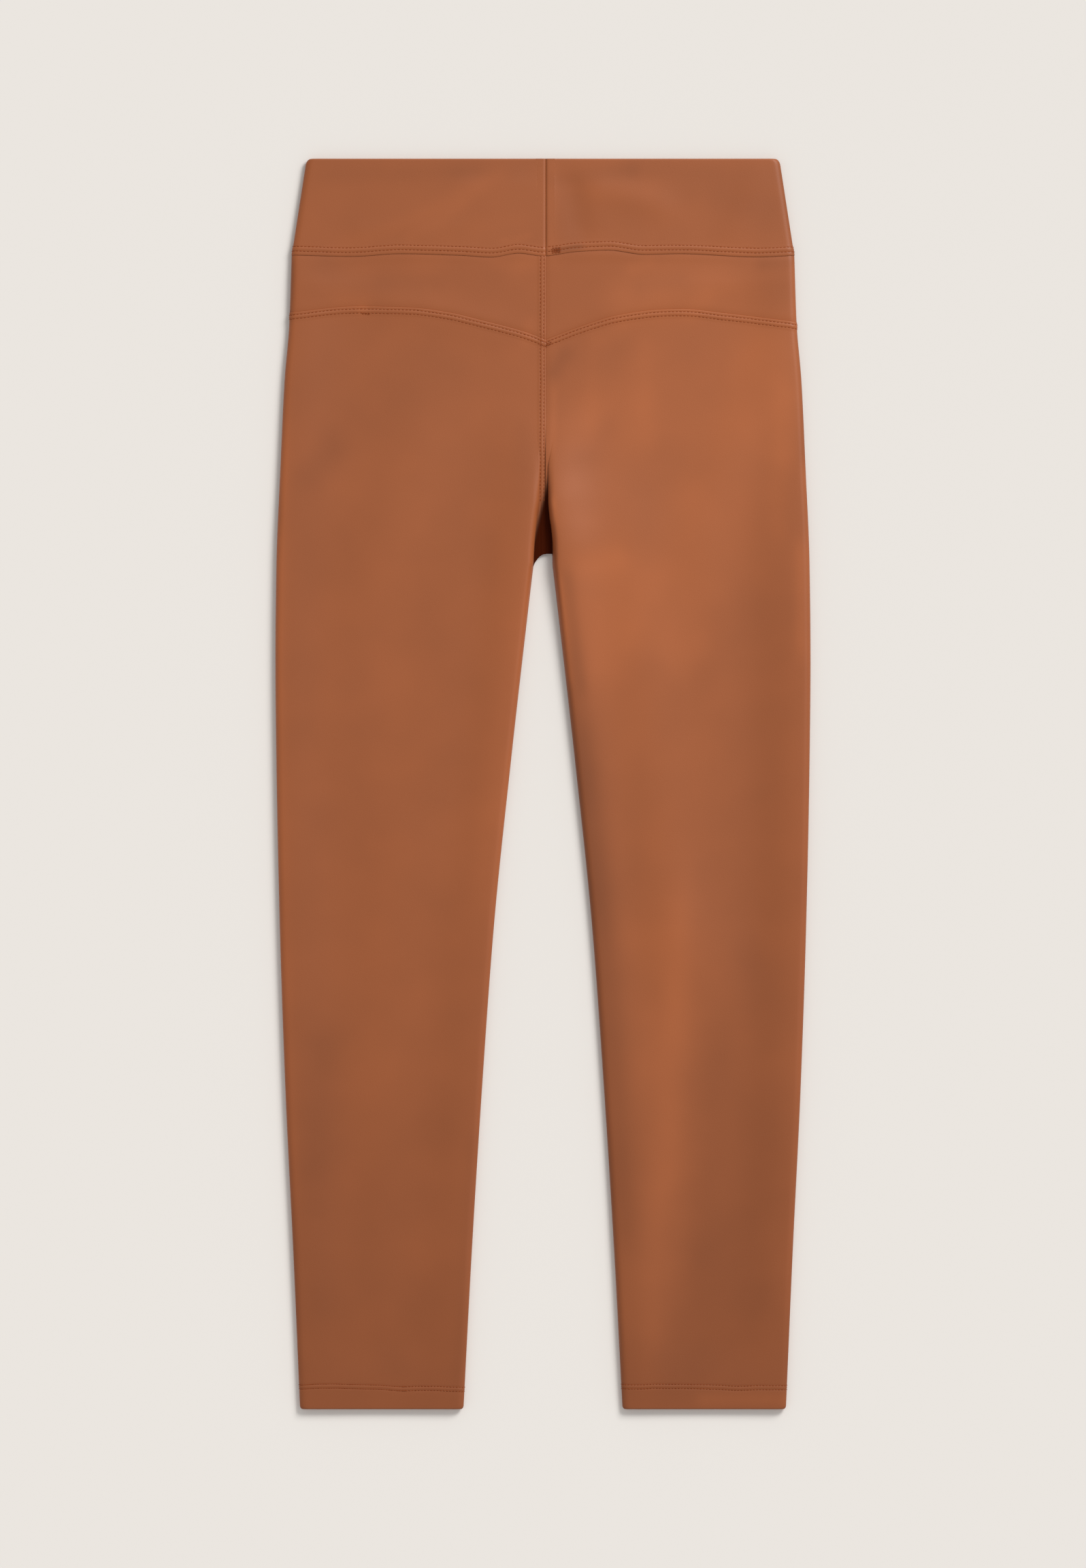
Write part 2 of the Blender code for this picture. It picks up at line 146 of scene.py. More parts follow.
bodyFolds = foldTable(
    (72, 60, 96, 350, 24, 1.6, 45), (96, 350, 58, 640, 28, 1.8, 45), (146, 130, 156, 360, 20, -0.6, 45),
    (156, 360, 150, 610, 22, -0.8, 45), (118, 650, 160, 750, 20, 0.9, 45),
    (-120, 80, -108, 400, 26, 0.7, 45), (-150, 520, -96, 700, 26, 0.8, 45),
    (-60, 420, -40, 610, 18, -0.6, 45), (-150, 822, -60, 800, 14, 0.6, 45), (70, 812, 130, 826, 14, 0.6, 45),
)
bandFolds = foldTable(
    (-130, 862, -60, 900, 9, 0.5, 14, 4), (-84, 858, -22, 902, 10, 0.6, 14, 3),
    (28, 862, 20, 900, 10, -0.6, 12), (44, 896, 84, 884, 11, 0.6, 14), (140, 862, 158, 905, 12, 0.4, 14),
)
floorFolds = foldTable(  # the front lifts off the floor along these
    (-130, 120, -112, 420, 26, 0.5, 40, 8), (-70, 470, -96, 690, 24, 0.5, 40, 6),
    (84, 90, 102, 380, 24, 0.6, 40, -6), (120, 440, 92, 660, 26, 0.5, 40, 6),
    (-120, 770, -60, 800, 16, 0.4, 24, 4), (60, 790, 140, 772, 16, 0.4, 24, 4),
)
paintedLightAndShade = foldTable(  # painted highlights and painted shade on the coating, along its folds, rolled edges and seams. rise is the share of the colour
    (34, 560, 52, 700, 40, 0.1, 50), (40, 720, 120, 750, 34, 0.07, 40), (64, 812, 130, 826, 20, 0.1, 20),
    (160, 806, 176, 832, 14, -0.04, 10), (162, 841, 182, 843, 6, -0.1, 6), (8, 762, 16, 774, 7, -0.12, 8),
    (7, 708, 8, 742, 3, 0.08, 10), (36, 715, 37, 780, 8, 0.05, 12), (76, 715, 74, 780, 9, 0.05, 12),
    (178, 700, 182, 738, 9, 0.08, 12), (100, 305, 102, 385, 12, 0.08, 30), (76, 30, 98, 290, 12, 0.1, 30, 5),
    (158, 80, 166, 640, 26, -0.08, 40), (150, 90, 152, 210, 24, -0.05, 30),
    (-108, 240, -110, 650, 24, 0.03, 40), (-172, 200, -176, 650, 14, -0.04, 40),
    (-176, 822, -132, 830, 10, 0.06, 10), (-134, 806, -132, 808, 4, 0.1, 3),
    (-142, 856, -36, 905, 7, 0.07, 12, 4), (-96, 862, -60, 884, 5, 0.04, 8, 2),
    (2, 858, 2, 930, 0.8, -0.08, 1), (188, 180, 193, 640, 3, -0.07, 40, 5),
    (-193, 680, -187, 790, 3.6, 0.27, 20, -1), (185, 850, 175, 914, 3.5, -0.2, 6),
    (40, 894, 72, 896, 10, 0.06, 12), (22, 862, 24, 888, 12, -0.08, 10), (7, 856, 7, 912, 4, 0.05, 8),
    (12, 851, 26, 853, 2, -0.22, 4), (3, 781, 5, 783, 1.6, -0.15, 1),
    (8, 850.6, 11.6, 850.8, 2.2, -0.3, 1.2), (58, 140, 19, 545, 13, -0.17, 30, 5),
    (42, 370, 28, 490, 11, -0.09, 30, 1), (28, 535, 19, 606, 5, -0.13, 12),
    (19, 540, 12.5, 606, 2.2, 0.15, 8), (120, 612, 165, 780, 32, 0.12, 30), (50, 545, 62, 610, 22, 0.1, 30),
    (76, 250, 88, 440, 14, 0.07, 40), (60, 8, 180, 8, 55, -0.12, 20), (-175, 8, -65, 8, 50, -0.08, 20),
    (-165, 60, -168, 150, 16, -0.05, 30), (118, 120, 128, 270, 14, -0.07, 30),
    (-187, 170, -193, 720, 6, 0.14, 30, -5), (-40, 400, -14, 610, 16, 0.09, 30),
    (-150, 740, -90, 770, 26, -0.05, 30), (110, 895, 165, 885, 16, -0.08, 14),
    (-150, 905, -60, 908, 7, -0.05, 20), (-60, 909, -22, 909, 8, -0.06, 10), (7.5, 640, 7, 664, 2, 0.25, 7),
    (84, 170, 95, 350, 12, 0.07, 25), (-165, 90, -75, 200, 42, -0.06, 30), (-60, 30, -48, 190, 8, -0.07, 20),
    (-110, 35, -70, 100, 18, -0.05, 16), (90, 40, 135, 130, 26, -0.06, 30), (86, 90, 94, 150, 9, -0.06, 16),
    (112, 30, 136, 40, 16, -0.05, 12), (120, 7, 182, 7, 6, 0.12, 8), (-168, 822, -160, 842, 14, -0.08, 8),
    (-150, 812, -132, 812, 5, 0.06, 6), (30, 700, 46, 722, 10, -0.08, 12), (34, 668, 46, 714, 13, -0.05, 14),
    (-12, 672, -14, 716, 9, -0.06, 12), (172, 650, 174, 745, 8, 0.07, 16),
    (-70, 862, -15, 872, 10, 0.05, 12), (-20, 835, -6, 846, 8, 0.05, 8), (8, 902, 66, 910, 7, -0.07, 6),
    (66, 909, 172, 907, 8, -0.05, 10), (108, 804, 120, 816, 8, 0.07, 8), (70, 500, 92, 545, 16, 0.08, 25),
    (84, 610, 104, 665, 18, 0.08, 20), (-150, 827, -80, 827, 8, -0.07, 10), (72, 824, 100, 828, 8, -0.07, 8),
    (66, 837, 78, 842, 6, 0.07, 5), (46, 786, 58, 796, 8, 0.06, 8), (-12, 786, -10, 796, 5, 0.06, 6),
    (-30, 600, -26, 640, 8, 0.05, 14), (-181, 20, -195, 640, 3, 0.26, 30, -5.5),
    (-184, 852, -176, 912, 3, 0.25, 8), (191, 705, 188, 785, 3.2, -0.2, 12, 1),
    (179, 14, 183, 110, 2.2, -0.07, 12), (-28, 858, -12, 861, 3, 0.06, 4, 1),
    (-170, 685, -154, 705, 14, -0.12, 14), (-164, 180, -160, 265, 16, -0.11, 16),
    (-34, 841, 8, 841, 6, 0.05, 6), (190, 565, 190, 625, 5, 0.13, 14), (72, 575, 108, 560, 20, 0.11, 14),
    (32, 618, 54, 624, 12, 0.11, 12), (70, 345, 96, 342, 16, 0.06, 14), (150, 340, 164, 275, 14, -0.05, 14),
)
hollow = {  # painted shade in the deeply sunken fold above the crotch, where hardly any light comes in
    "top": 663.0,  # where the dark begins at the left wall
    "leftWall": -4.0,
    "slant": 4.0,  # how much higher it begins for each millimetre to the right
    "highest": 692.0,
    "fade": 24.0,
    "wallFrom": 0.5,  # how high on the rolled wall it begins, as a share of the roll
    "wallFade": 0.45,
    "sunk": 0.5,  # how far the seam has sunk where it is full
    "tone": 0.08,
}
hemLines = {  # the upper row of the hem stitches: (x, height)
    -1: (
        (-178, 17.7), (-160, 18.5), (-138, 18.2), (-119.5, 17.7), (-104, 16.5), (-81.5, 16.9), (-58.5, 16.1),
    ),
    1: (
        (59.5, 18.2), (71.5, 17.9), (82, 18.5), (112.5, 18.2), (127.5, 17.7), (143, 16.9), (158.5, 17.5),
        (178.5, 17.5),
    ),
}
foldEnds = {"hemFade": garment["hemDepth"], "bandFade": 20.0}


def mix(a, b, share):
    return a + (b - a) * share


def within(value):
    return np.clip(value, 0.0, 1.0)


def smooth(value):
    share = within(value)
    return share * share * (3 - 2 * share)


def curveThrough(points, at):  # a smooth curve through (place, value) points, with no overshoot
    place = np.array([p[0] for p in points], float)
    value = np.array([p[1] for p in points], float)
    at = np.clip(np.asarray(at, float), place[0], place[-1])
    step = np.diff(place)
    slope = np.diff(value) / step
    before = slope[:-1]
    after = slope[1:]
    together = before + after
    turning = (before * after <= 0) | (together == 0)
    inner = np.where(turning, 0.0, 2 * before * after / np.where(turning, 1.0, together))
    lean = np.concatenate(([slope[0]], inner, [slope[-1]]))
    i = np.clip(np.searchsorted(place, at, side="right") - 1, 0, len(step) - 1)
    t = (at - place[i]) / step[i]
    ends = value[i] * (1 + 2 * t) * (1 - t) ** 2 + value[i + 1] * t * t * (3 - 2 * t)
    return ends + step[i] * (lean[i] * t * (1 - t) ** 2 - lean[i + 1] * t * t * (1 - t))


def roundOff(distance, radius):  # the share of a quarter circle's radius that is lost near its end
    share = np.clip(1 - distance / radius, 0.0, 1.0)
    return 1 - np.sqrt(1 - share * share)


def cornerLoss(distance, corner):
    return corner * garment["cornerShare"] * roundOff(distance, corner)


def outerSide(height):
    below = curveThrough(outline["outerSide"], height) - cornerLoss(height, garment["hemCorner"])
    share = (height - garment["bandSeamHeight"]) / (length - garment["bandSeamHeight"])
    above = mix(outline["outerSide"][-1][1], garment["waistHalfWidth"], share)
    above = above - cornerLoss(length - height, garment["bandCorner"])
    return np.where(height <= garment["bandSeamHeight"], below, above)


def legInnerSide(height):
    return curveThrough(outline["innerSide"], height) + cornerLoss(height, garment["hemCorner"])


def innerSide(side, height):  # the leg's inner edge, or above the crotch the valley's wall
    reach = curveThrough(valley["leftReach" if side < 0 else "rightReach"], height)
    return np.where(height < garment["crotch"][side], legInnerSide(height), side * garment["seamX"] + reach)


def foldRise(folds, x, height):
    total = np.zeros(np.broadcast(x, height).shape)
    for fold in folds:
        dx = fold.xHigh - fold.xLow
        dy = fold.high - fold.low
        span = math.hypot(dx, dy)
        along = ((x - fold.xLow) * dx + (height - fold.low) * dy) / span
        across = ((x - fold.xLow) * dy - (height - fold.low) * dx) / span
        share = within(along / span)
        across = across - fold.bend * 4 * share * (1 - share)
        past = np.maximum(0.0, np.maximum(-along, along - span))
        total = total + fold.rise * np.exp(-((across / fold.halfWidth) ** 2) - (past / fold.fade) ** 2)
    return total


def loopShare(distance):
    return np.exp(-((np.maximum(distance - garment["roll"], 0.0) / garment["loopFade"]) ** 2))


def bodyFade(height):  # the soft folds fade towards the hems and the waistband
    below = garment["bandSeamHeight"] - height
    return within(height / foldEnds["hemFade"]) * within(below / foldEnds["bandFade"])


def bandFade(height):
    above = height - garment["bandSeamHeight"]
    return within(above / foldEnds["bandFade"]) * within((length - height) / foldEnds["bandFade"])


def faceHeight(side, q, height, folds=bodyFolds):  # the back's face without its rounded sides
    middle = curveThrough(lie["middle"], height)
    outer = (curveThrough(lie["outerLoop"], height) - middle) * loopShare(outerSide(height) - q)
    innerLoop = lie["innerLoopLeft" if side < 0 else "innerLoopRight"]
    inner = (curveThrough(innerLoop, height) - middle) * loopShare(q - innerSide(side, height))
    fade = bandFade(height) if folds is bandFolds else bodyFade(height)
    return middle + outer + inner + fade * foldRise(folds, side * q, height)


def valleyFloor(side, height):
    bottom = 2 * garment["cloth"] + garment["layGap"]
    sink = curveThrough(valley["sink"], height)
    return mix(faceHeight(side, innerSide(side, height), height), bottom, sink)


def rollIn(angle, wall):  # how far in a rolled side's two faces are at an angle, and their share of the rise
    turned = 1 - math.cos(math.radians(angle))
    return garment["roll"] * turned, mix(wall, garment["roll"], turned), math.sin(math.radians(angle))


# A grid of places on a cut piece: both faces of its wall, the way out of it, and what is cloth
Grid = namedtuple("Grid", "outer inner out shown across height tone")
Column = namedtuple("Column", "across acrossInner z zInner outward shown tone")


def backColumn(side, kind, value, height, thick, inset, folds):
    inLeg = height < garment["crotch"][side]
    wide = outerSide(height)
    near = innerSide(side, height)
    sink = curveThrough(valley["sink"], height)
    level = np.zeros(height.shape)
    shown = level == 0
    rise = 1.0
    outward = low = lowInner = level  # outward is how far the way out leans from the piece's middle
    if kind == "outerRoll":
        into, intoInner, rise = rollIn(value, thick)
        across = wide - into
        acrossInner = wide - intoInner
        low = lowInner = level + (garment["sideSeamZ"] + garment["seamGap"] / 2)
        outward = level + math.cos(math.radians(value))
    elif kind == "middle":
        across = acrossInner = mix(wide - garment["roll"], near + garment["roll"], value)
    elif kind == "innerRoll":
        into, intoInner, rise = rollIn(value, thick)
        across = near + into
        acrossInner = near + intoInner
        floor = valleyFloor(side, height)
        inseam = curveThrough(lie["inseam"], height) + garment["seamGap"] / 2
        low = np.where(inLeg, inseam, floor)
        lowInner = np.where(inLeg, inseam, floor - thick)
        outward = -math.cos(math.radians(value)) * np.where(inLeg, 1.0, sink)
    else:
        seam = side * garment["seamX"] - garment["faceOverlap"]
        shown = ~inLeg
        rise = 0.0
        across = mix(near, seam, value)
        acrossInner = mix(near + thick, seam, value)
        low = valleyFloor(side, height)
        lowInner = low - thick
    topInner = faceHeight(side, acrossInner, height, folds) - thick
    z = mix(low, faceHeight(side, across, height, folds), rise) - inset * rise
    zInner = mix(lowInner, topInner, rise) + inset * rise
    # painted highlights and painted shade: the listed strokes lighten or darken the colour through the tone
    tone = 1 + foldRise(paintedLightAndShade, side * across, height)
    # painted shade: the sunken fold above the crotch is darkened through the tone
    if kind in ("innerRoll", "inward"):
        paintedShade = smooth((hollow["wallFrom"] - rise) / hollow["wallFade"]) * smooth(sink / hollow["sunk"])
        darkFrom = hollow["top"] + hollow["slant"] * (side * across - hollow["leftWall"])
        dark = smooth((np.minimum(darkFrom, hollow["highest"]) - height) / hollow["fade"])
        tone = mix(tone, hollow["tone"], paintedShade * ~inLeg * dark)
    return Column(across, acrossInner, z, zInner, outward, shown, tone)


def frontColumn(side, kind, value, height, thick, inset, folds):
    inLeg = height < frontCrotch(side)
    wide = outerSide(height)
    near = legInnerSide(height)
    level = np.zeros(height.shape)
    shown = level == 0
    flat = 1.0
    turn = level + 1
    outward = rim = level
    if kind == "outerRoll":
        into, intoInner, flat = rollIn(value, thick)
        across = wide - into
        acrossInner = wide - intoInner
        rim = level + (garment["sideSeamZ"] - garment["seamGap"] / 2)
        outward = level + math.cos(math.radians(value))
    elif kind == "middle":
        across = acrossInner = mix(wide - garment["roll"], near + garment["roll"], value)
    elif kind == "innerRoll":
        turn = within((frontPiece["turnEnd"] - height) / frontPiece["turnFade"]) * inLeg
        into, intoInner, flat = rollIn(value, thick * turn)
        across = near + into
        acrossInner = near + intoInner
        rim = curveThrough(lie["inseam"], height) - garment["seamGap"] / 2
        outward = -math.cos(math.radians(value)) * turn
    else:
        shown = ~inLeg
        across = acrossInner = mix(near, side * garment["seamX"] - garment["faceOverlap"], value)
    lift = foldRise(folds, side * across, height) * flat * bodyFade(height)
    z = mix(rim * turn, 0.0, flat) + inset * flat + lift
    zInner = mix(mix(thick, rim, turn), thick, flat) - inset * flat + lift
    return Column(across, acrossInner, z, zInner, outward, shown, level + 1)


def gridOf(placeColumn, facing, side, columns, heights, wall, inset, folds):
    # facing is 1 where the outer face looks up and -1 where it looks down
    placed = [
        placeColumn(side, kind, value, heights[:, c], wall[:, c], inset[:, c], folds)
        for c, (kind, value) in enumerate(columns)
    ]
    column = Column(*[np.stack(values, 1) for values in zip(*placed)])
    y = heights - length / 2
    outer = np.stack([side * column.across, y, column.z], 2)
    inner = np.stack([side * column.acrossInner, y, column.zInner], 2)
    lean = side * column.outward
    out = np.stack([lean, 0 * lean, facing * np.sqrt(1 - lean**2)], 2)
    return Grid(outer, inner, out, column.shown, column.across, heights, column.tone)


def frontCrotch(side):
    return garment["crotch"][side] + frontPiece["webRecess"]


def moved(grid, relief):  # the outer face moved along its way out
    return grid._replace(outer=grid.outer + grid.out * relief[..., None])


def crotchRise(side, share, above):  # the crotch edge curves up to the seam
    fade = within(1 - above / garment["crotchLiftFade"])
    return garment["crotchLift"][side] * (1 - (1 - share) ** garment["crotchCurve"]) * fade


# Rows and columns of the grids
def columnsOf(rollSteps, middle, inward):  # from the outer side to the centre seam
    return (
        [("outerRoll", angle) for angle in np.linspace(0, 90, rollSteps)]
        + [("middle", k / (middle + 1)) for k in range(1, middle + 1)]
        + [("innerRoll", angle) for angle in np.linspace(90, 0, rollSteps)]
        + [("inward", k / inward) for k in range(1, inward + 1)]
    )


backColumns = columnsOf(rollSteps=9, middle=74, inward=15)
frontColumns = columnsOf(rollSteps=7, middle=44, inward=14)


def spaced(low, high, step):  # even heights from low to high, with both ends
    count = max(1, math.ceil((high - low) / step))
    return [low + (high - low) * k / count for k in range(count + 1)]


def rowsBetween(low, high, nearLow, nearHigh, count):  # fine rows by both edges and even rows between
    rows = [low + offset for offset in nearLow]
    start = low + nearLow[-1]
    stop = high - nearHigh[-1]
    rows += [mix(start, stop, k / count) for k in range(1, count)]
    rows += [high - offset for offset in reversed(nearHigh)]
    return np.array(rows)


def rowsAt(columns, levels):  # rows that run level
    return [np.full(len(columns), level) for level in levels]


def crotchRows(side, crotch, columns, steps):  # rows that curve up to the centre seam
    shares = np.array([value if kind == "inward" else 0.0 for kind, value in columns])
    return [crotch + above + crotchRise(side, shares, above) for above in steps]


def backGrid(side, heights, section, folds=bodyFolds):
    return gridOf(backColumn, 1, side, backColumns, heights, *section, folds)


def plainSection(heights):  # a single wall without a fold
    return np.full(heights.shape, garment["cloth"]), 0 * heights


def acrossAt(side, height):  # how far out each column of the back lies at one height
    heights = np.full((1, len(backColumns)), height)
    return backGrid(side, heights, plainSection(heights)).across[0]


def yokeSeamAt(side):
    fromSeam = acrossAt(side, seamLines["yokeReadAt"]) - side * garment["seamX"]
    return curveThrough(seamLines["yoke"][side], fromSeam)


def bandSeamAt(side):
    return curveThrough(seamLines["band"], side * acrossAt(side, garment["bandSeamHeight"]))


# Seams: a folded edge lies over its neighbour and the twin needle presses two grooves into it
seamStyle = {
    "edgeRadius": 1.3,
    "edgeDrop": 0.3,
    "underEdge": 0.4,  # the share of that drop on the panel beneath
    "stepShare": 0.45,
    "grooveDepth": 0.21,
    "grooveHalf": 0.6,
    "pillow": 0.1,
    "dip": 0.22,  # the under panel beside a folded edge
    "dipReach": 2.2,
    "wander": 0.16,
    "pucker": 0.3,  # share of a groove's depth that comes and goes
    "puckerBeat": 2.3,
    "reach": 30.0,  # a seam shapes nothing farther off than this
    "threadRoom": 0.12,  # how much deeper than its thread a groove of the front is
}
# rows are the needles' distances from the seam, and phase is where their wander starts
bandLap = {"rows": (3.0, 6.4), "width": 8.4, "rise": 0.3, "phase": 0.4, "seed": 20}
yokeLap = {"rows": (1.9, 4.9), "width": 7.2, "rise": 0.34, "phase": 1.3, "seed": 3}
backLap = {"rows": (1.3, 3.9), "width": 6.6, "rise": 0.28, "phase": 0.7, "seed": 12}
hemLap = {"rows": (15.0, 18.0), "phase": 2.2, "seed": 8}
frontHem = {"rows": hemLap["rows"], "phase": 1.1, "seed": 30}
frontCentre = {"rows": (1.4, 4.2), "phase": 0.9, "seed": 36}
frontBand = {"rows": (3.0, 6.4), "phase": 0.5, "seed": 41}


def waver(along, phase):  # an uneven wave between -1 and 1, for what a hand guides
    return (
        0.5 * np.sin(along / 11.3 + phase)
        + 0.3 * np.sin(along / 4.7 + 2.1 * phase)
        + 0.2 * np.sin(along / 2.3 + 3.7 * phase)
    )


def rowPlace(row, along, phase):  # the distance of a row of stitches from its seam
    return row + seamStyle["wander"] * waver(along, phase)


def grooves(distance, lap, along, phase):
    total = 0.0
    for row in lap["rows"]:
        beat = waver(along * seamStyle["puckerBeat"], phase + row)
        depth = seamStyle["grooveDepth"] * (1 + seamStyle["pucker"] * beat)
        off = (distance - rowPlace(row, along, phase)) / seamStyle["grooveHalf"]
        total = total + depth * np.exp(-off * off)
    middle = sum(lap["rows"]) / 2
    spread = (lap["rows"][1] - lap["rows"][0]) / 2
    return total - seamStyle["pillow"] * np.exp(-(((distance - middle) / spread) ** 2))


def edgeLoss(distance):  # a folded edge is round
    return seamStyle["edgeDrop"] * roundOff(distance, seamStyle["edgeRadius"])


def lapRelief(distance, lap, along, phase):
    step = lap["rise"] * smooth((lap["width"] - distance) / (seamStyle["stepShare"] * lap["width"]))
    return step - edgeLoss(distance) - grooves(distance, lap, along, phase)


def dipRelief(distance):  # the panel beneath a folded edge sinks into the ditch
    dip = seamStyle["dip"] * np.exp(-((distance / seamStyle["dipReach"]) ** 2))
    return -dip - seamStyle["underEdge"] * edgeLoss(distance)


def floorGrooves(distance, lap, along, phase):  # grooves that rise into the wall from the floor
    depth = 2 * stitchStyle["radius"] + seamStyle["threadRoom"]
    total = 0.0
    for row in lap["rows"]:
        off = (distance - rowPlace(row, along, phase)) / seamStyle["grooveHalf"]
        total = total + depth * np.exp(-(off**2))
    return total


def beside(distance, relief):  # a seam's relief where it is near
    return np.where(distance < seamStyle["reach"], relief, 0.0)


def fromCentre(side, grid):  # the distance from the centre seam
    return grid.across - side * garment["seamX"]


def centreBackRelief(side, grid):  # below the waistband the allowance is pressed to the left
    distance = fromCentre(side, grid)
    if side < 0:
        relief = lapRelief(distance, backLap, grid.height, backLap["phase"])
    else:
        relief = dipRelief(distance)
    return beside(np.abs(distance), relief)


# Meshes
sharpAngle = math.radians(62)


def wallMesh(name, grid, cloth):
    mesh = bmesh.new()
    # the tone layer carries the painted highlights and painted shade to the material
    tone = mesh.verts.layers.float.new("tone")
    outer = {}
    inner = {}
    for r, c in zip(*np.nonzero(grid.shown)):
        for corners, places in ((outer, grid.outer), (inner, grid.inner)):
            corners[r, c] = mesh.verts.new(places[r, c] * mm)
            corners[r, c][tone] = grid.tone[r, c]
    rows, count = grid.shown.shape
    openEdges = set()
    for r in range(rows - 1):
        for c in range(count - 1):
            found = [k for k in ((r, c), (r, c + 1), (r + 1, c + 1), (r + 1, c)) if k in outer]
            if len(found) < 3:
                continue
            mesh.faces.new([outer[k] for k in found])
            mesh.faces.new([inner[k] for k in reversed(found)]).material_index = 1
            for a, b in zip(found, found[1:] + found[:1]):
                if (b, a) in openEdges:
                    openEdges.remove((b, a))
                else:
                    openEdges.add((a, b))
    for a, b in sorted(openEdges):
        mesh.faces.new([outer[b], outer[a], inner[a], inner[b]])
    bmesh.ops.recalc_face_normals(mesh, faces=mesh.faces)
    data = bpy.data.meshes.new(name)
    mesh.to_mesh(data)
    mesh.free()
    data.materials.append(cloth)
    data.materials.append(knit)
    data.shade_smooth()
    data.set_sharp_from_angle(angle=sharpAngle)
    return data


def addObject(name, data):
    thing = bpy.data.objects.new(name, data)
    bpy.context.scene.collection.objects.link(thing)
    return thing


def addPiece(name, data):
    piece = addObject(name, data)
    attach(piece, "root")
    return piece


def makePanel(name, grid, body, cloth):
    piece = addPiece(name, wallMesh(name, grid, cloth))
    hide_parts(body)
    return piece


# Materials
def addNode(tree, kind, values=(), **settings):  # returns the outputs, and links values that are outputs
    node = tree.nodes.new(kind)
    for key, value in settings.items():
        setattr(node, key, value)
    for key, value in dict(values).items():
        if isinstance(value, bpy.types.NodeSocket):
            tree.links.new(value, node.inputs[key])
        else:
            node.inputs[key].default_value = value
    return node.outputs


def maths(tree, operation, *values):
    return addNode(tree, "ShaderNodeMath", dict(enumerate(values)), operation=operation)[0]


def newGroup(name, sizes, output):
    group = bpy.data.node_groups.new(name, "ShaderNodeTree")
    group.interface.new_socket("Vector", in_out="INPUT", socket_type="NodeSocketVector")
    for socketName, value in sizes.items():
        socket = group.interface.new_socket(socketName, in_out="INPUT", socket_type="NodeSocketFloat")
        socket.default_value = value
    group.interface.new_socket(output, in_out="OUTPUT", socket_type="NodeSocketFloat")
    return group, addNode(group, "NodeGroupInput")


def mottleGroup():  # slow, faint changes of shade over the coated cloth
    group, given = newGroup("clothMottle", {"Patch Size": 0.05, "Seed": 0.0}, "Shade")
    scale = maths(group, "DIVIDE", 1.0, given["Patch Size"])
    looks = {"Vector": given["Vector"], "W": given["Seed"], "Scale": scale, "Detail": 2.0, "Roughness": 0.45}
    noise = addNode(group, "ShaderNodeTexNoise", looks, noise_dimensions="4D")
    addNode(group, "NodeGroupOutput", {"Shade": noise["Fac"]})
    return group


def grainGroup():  # the fine pebble pressed into the coating
    group, given = newGroup("coatingGrain", {"Grain Size": 0.0009}, "Height")
    scale = maths(group, "DIVIDE", 1.0, given["Grain Size"])
    wider = maths(group, "MULTIPLY", scale, 0.4)
    pebble = addNode(group, "ShaderNodeTexVoronoi", {"Vector": given["Vector"], "Scale": scale}, feature="F1")
    looks = {"Vector": given["Vector"], "Scale": wider, "Detail": 1.0, "Roughness": 0.5}
    noise = addNode(group, "ShaderNodeTexNoise", looks)
    both = maths(group, "MULTIPLY_ADD", noise["Fac"], 0.5, pebble["Distance"])
    addNode(group, "NodeGroupOutput", {"Height": both})
    return group


def newMaterial(name, look):
    material = bpy.data.materials.new(name)
    material.use_nodes = True
    shader = material.node_tree.nodes["Principled BSDF"].inputs
    shader["Roughness"].default_value = look["roughness"]
    shader["Specular IOR Level"].default_value = look["shine"]
    return material, material.node_tree, shader


def shadeRamp(tree, factor, look, stops=(0.0, 1.0)):  # from the look's darker to its lighter shade
    ramp = tree.nodes.new("ShaderNodeValToRGB")
    tree.links.new(factor, ramp.inputs["Fac"])
    for element, stop, share in zip(ramp.color_ramp.elements, stops, look["shades"]):
        element.position = stop
        element.color = (*[v * share for v in look["colour"]], 1)
    return ramp.outputs["Color"]


def addBump(tree, shader, height, strength, distance):
    bump = addNode(tree, "ShaderNodeBump", {"Height": height, "Strength": strength, "Distance": distance})
    tree.links.new(bump["Normal"], shader["Normal"])


def coatedCloth(name, look):
    material, tree, shader = newMaterial(name, look)
    place = addNode(tree, "ShaderNodeTexCoord")["Object"]
    drift = {"Vector": place, "Patch Size": look["patch"], "Seed": look["seed"]}
    patches = addNode(tree, "ShaderNodeGroup", drift, node_tree=mottle)
    pebble = addNode(tree, "ShaderNodeGroup", {"Vector": place, "Grain Size": look["grain"]}, node_tree=grain)
    shade = shadeRamp(tree, patches["Shade"], look, (0.3, 0.7))
    # the tone attribute scales the colour with the painted highlights and painted shade
    tone = addNode(tree, "ShaderNodeAttribute", attribute_name="tone")["Fac"]
    toned = addNode(tree, "ShaderNodeVectorMath", {0: shade, "Scale": tone}, operation="SCALE")

    def fromTone(tones, least, most):
        low, high = tones
        span = {"Value": tone, "From Min": low, "From Max": high, "To Min": least, "To Max": most}
        return addNode(tree, "ShaderNodeMapRange", span)["Result"]

    # painted shade: low tones turn the colour to the painted shade colour and take the tint from its
    # reflection
    outsidePaintedShade = fromTone(look["paintedShadeTones"], 0.0, 1.0)
    shades = {"Factor": outsidePaintedShade, "A": (*look["paintedShade"], 1), "B": toned["Vector"]}
    paintedShadeMix = addNode(tree, "ShaderNodeMix", shades, data_type="RGBA")
    tree.links.new(paintedShadeMix["Result"], shader["Base Color"])
    tree.links.new(outsidePaintedShade, shader["Specular Tint"])
    tree.links.new(fromTone(look["dullTones"], look["dull"], look["roughness"]), shader["Roughness"])
    addBump(tree, shader, pebble["Height"], look["bump"], 0.0002)
    return material


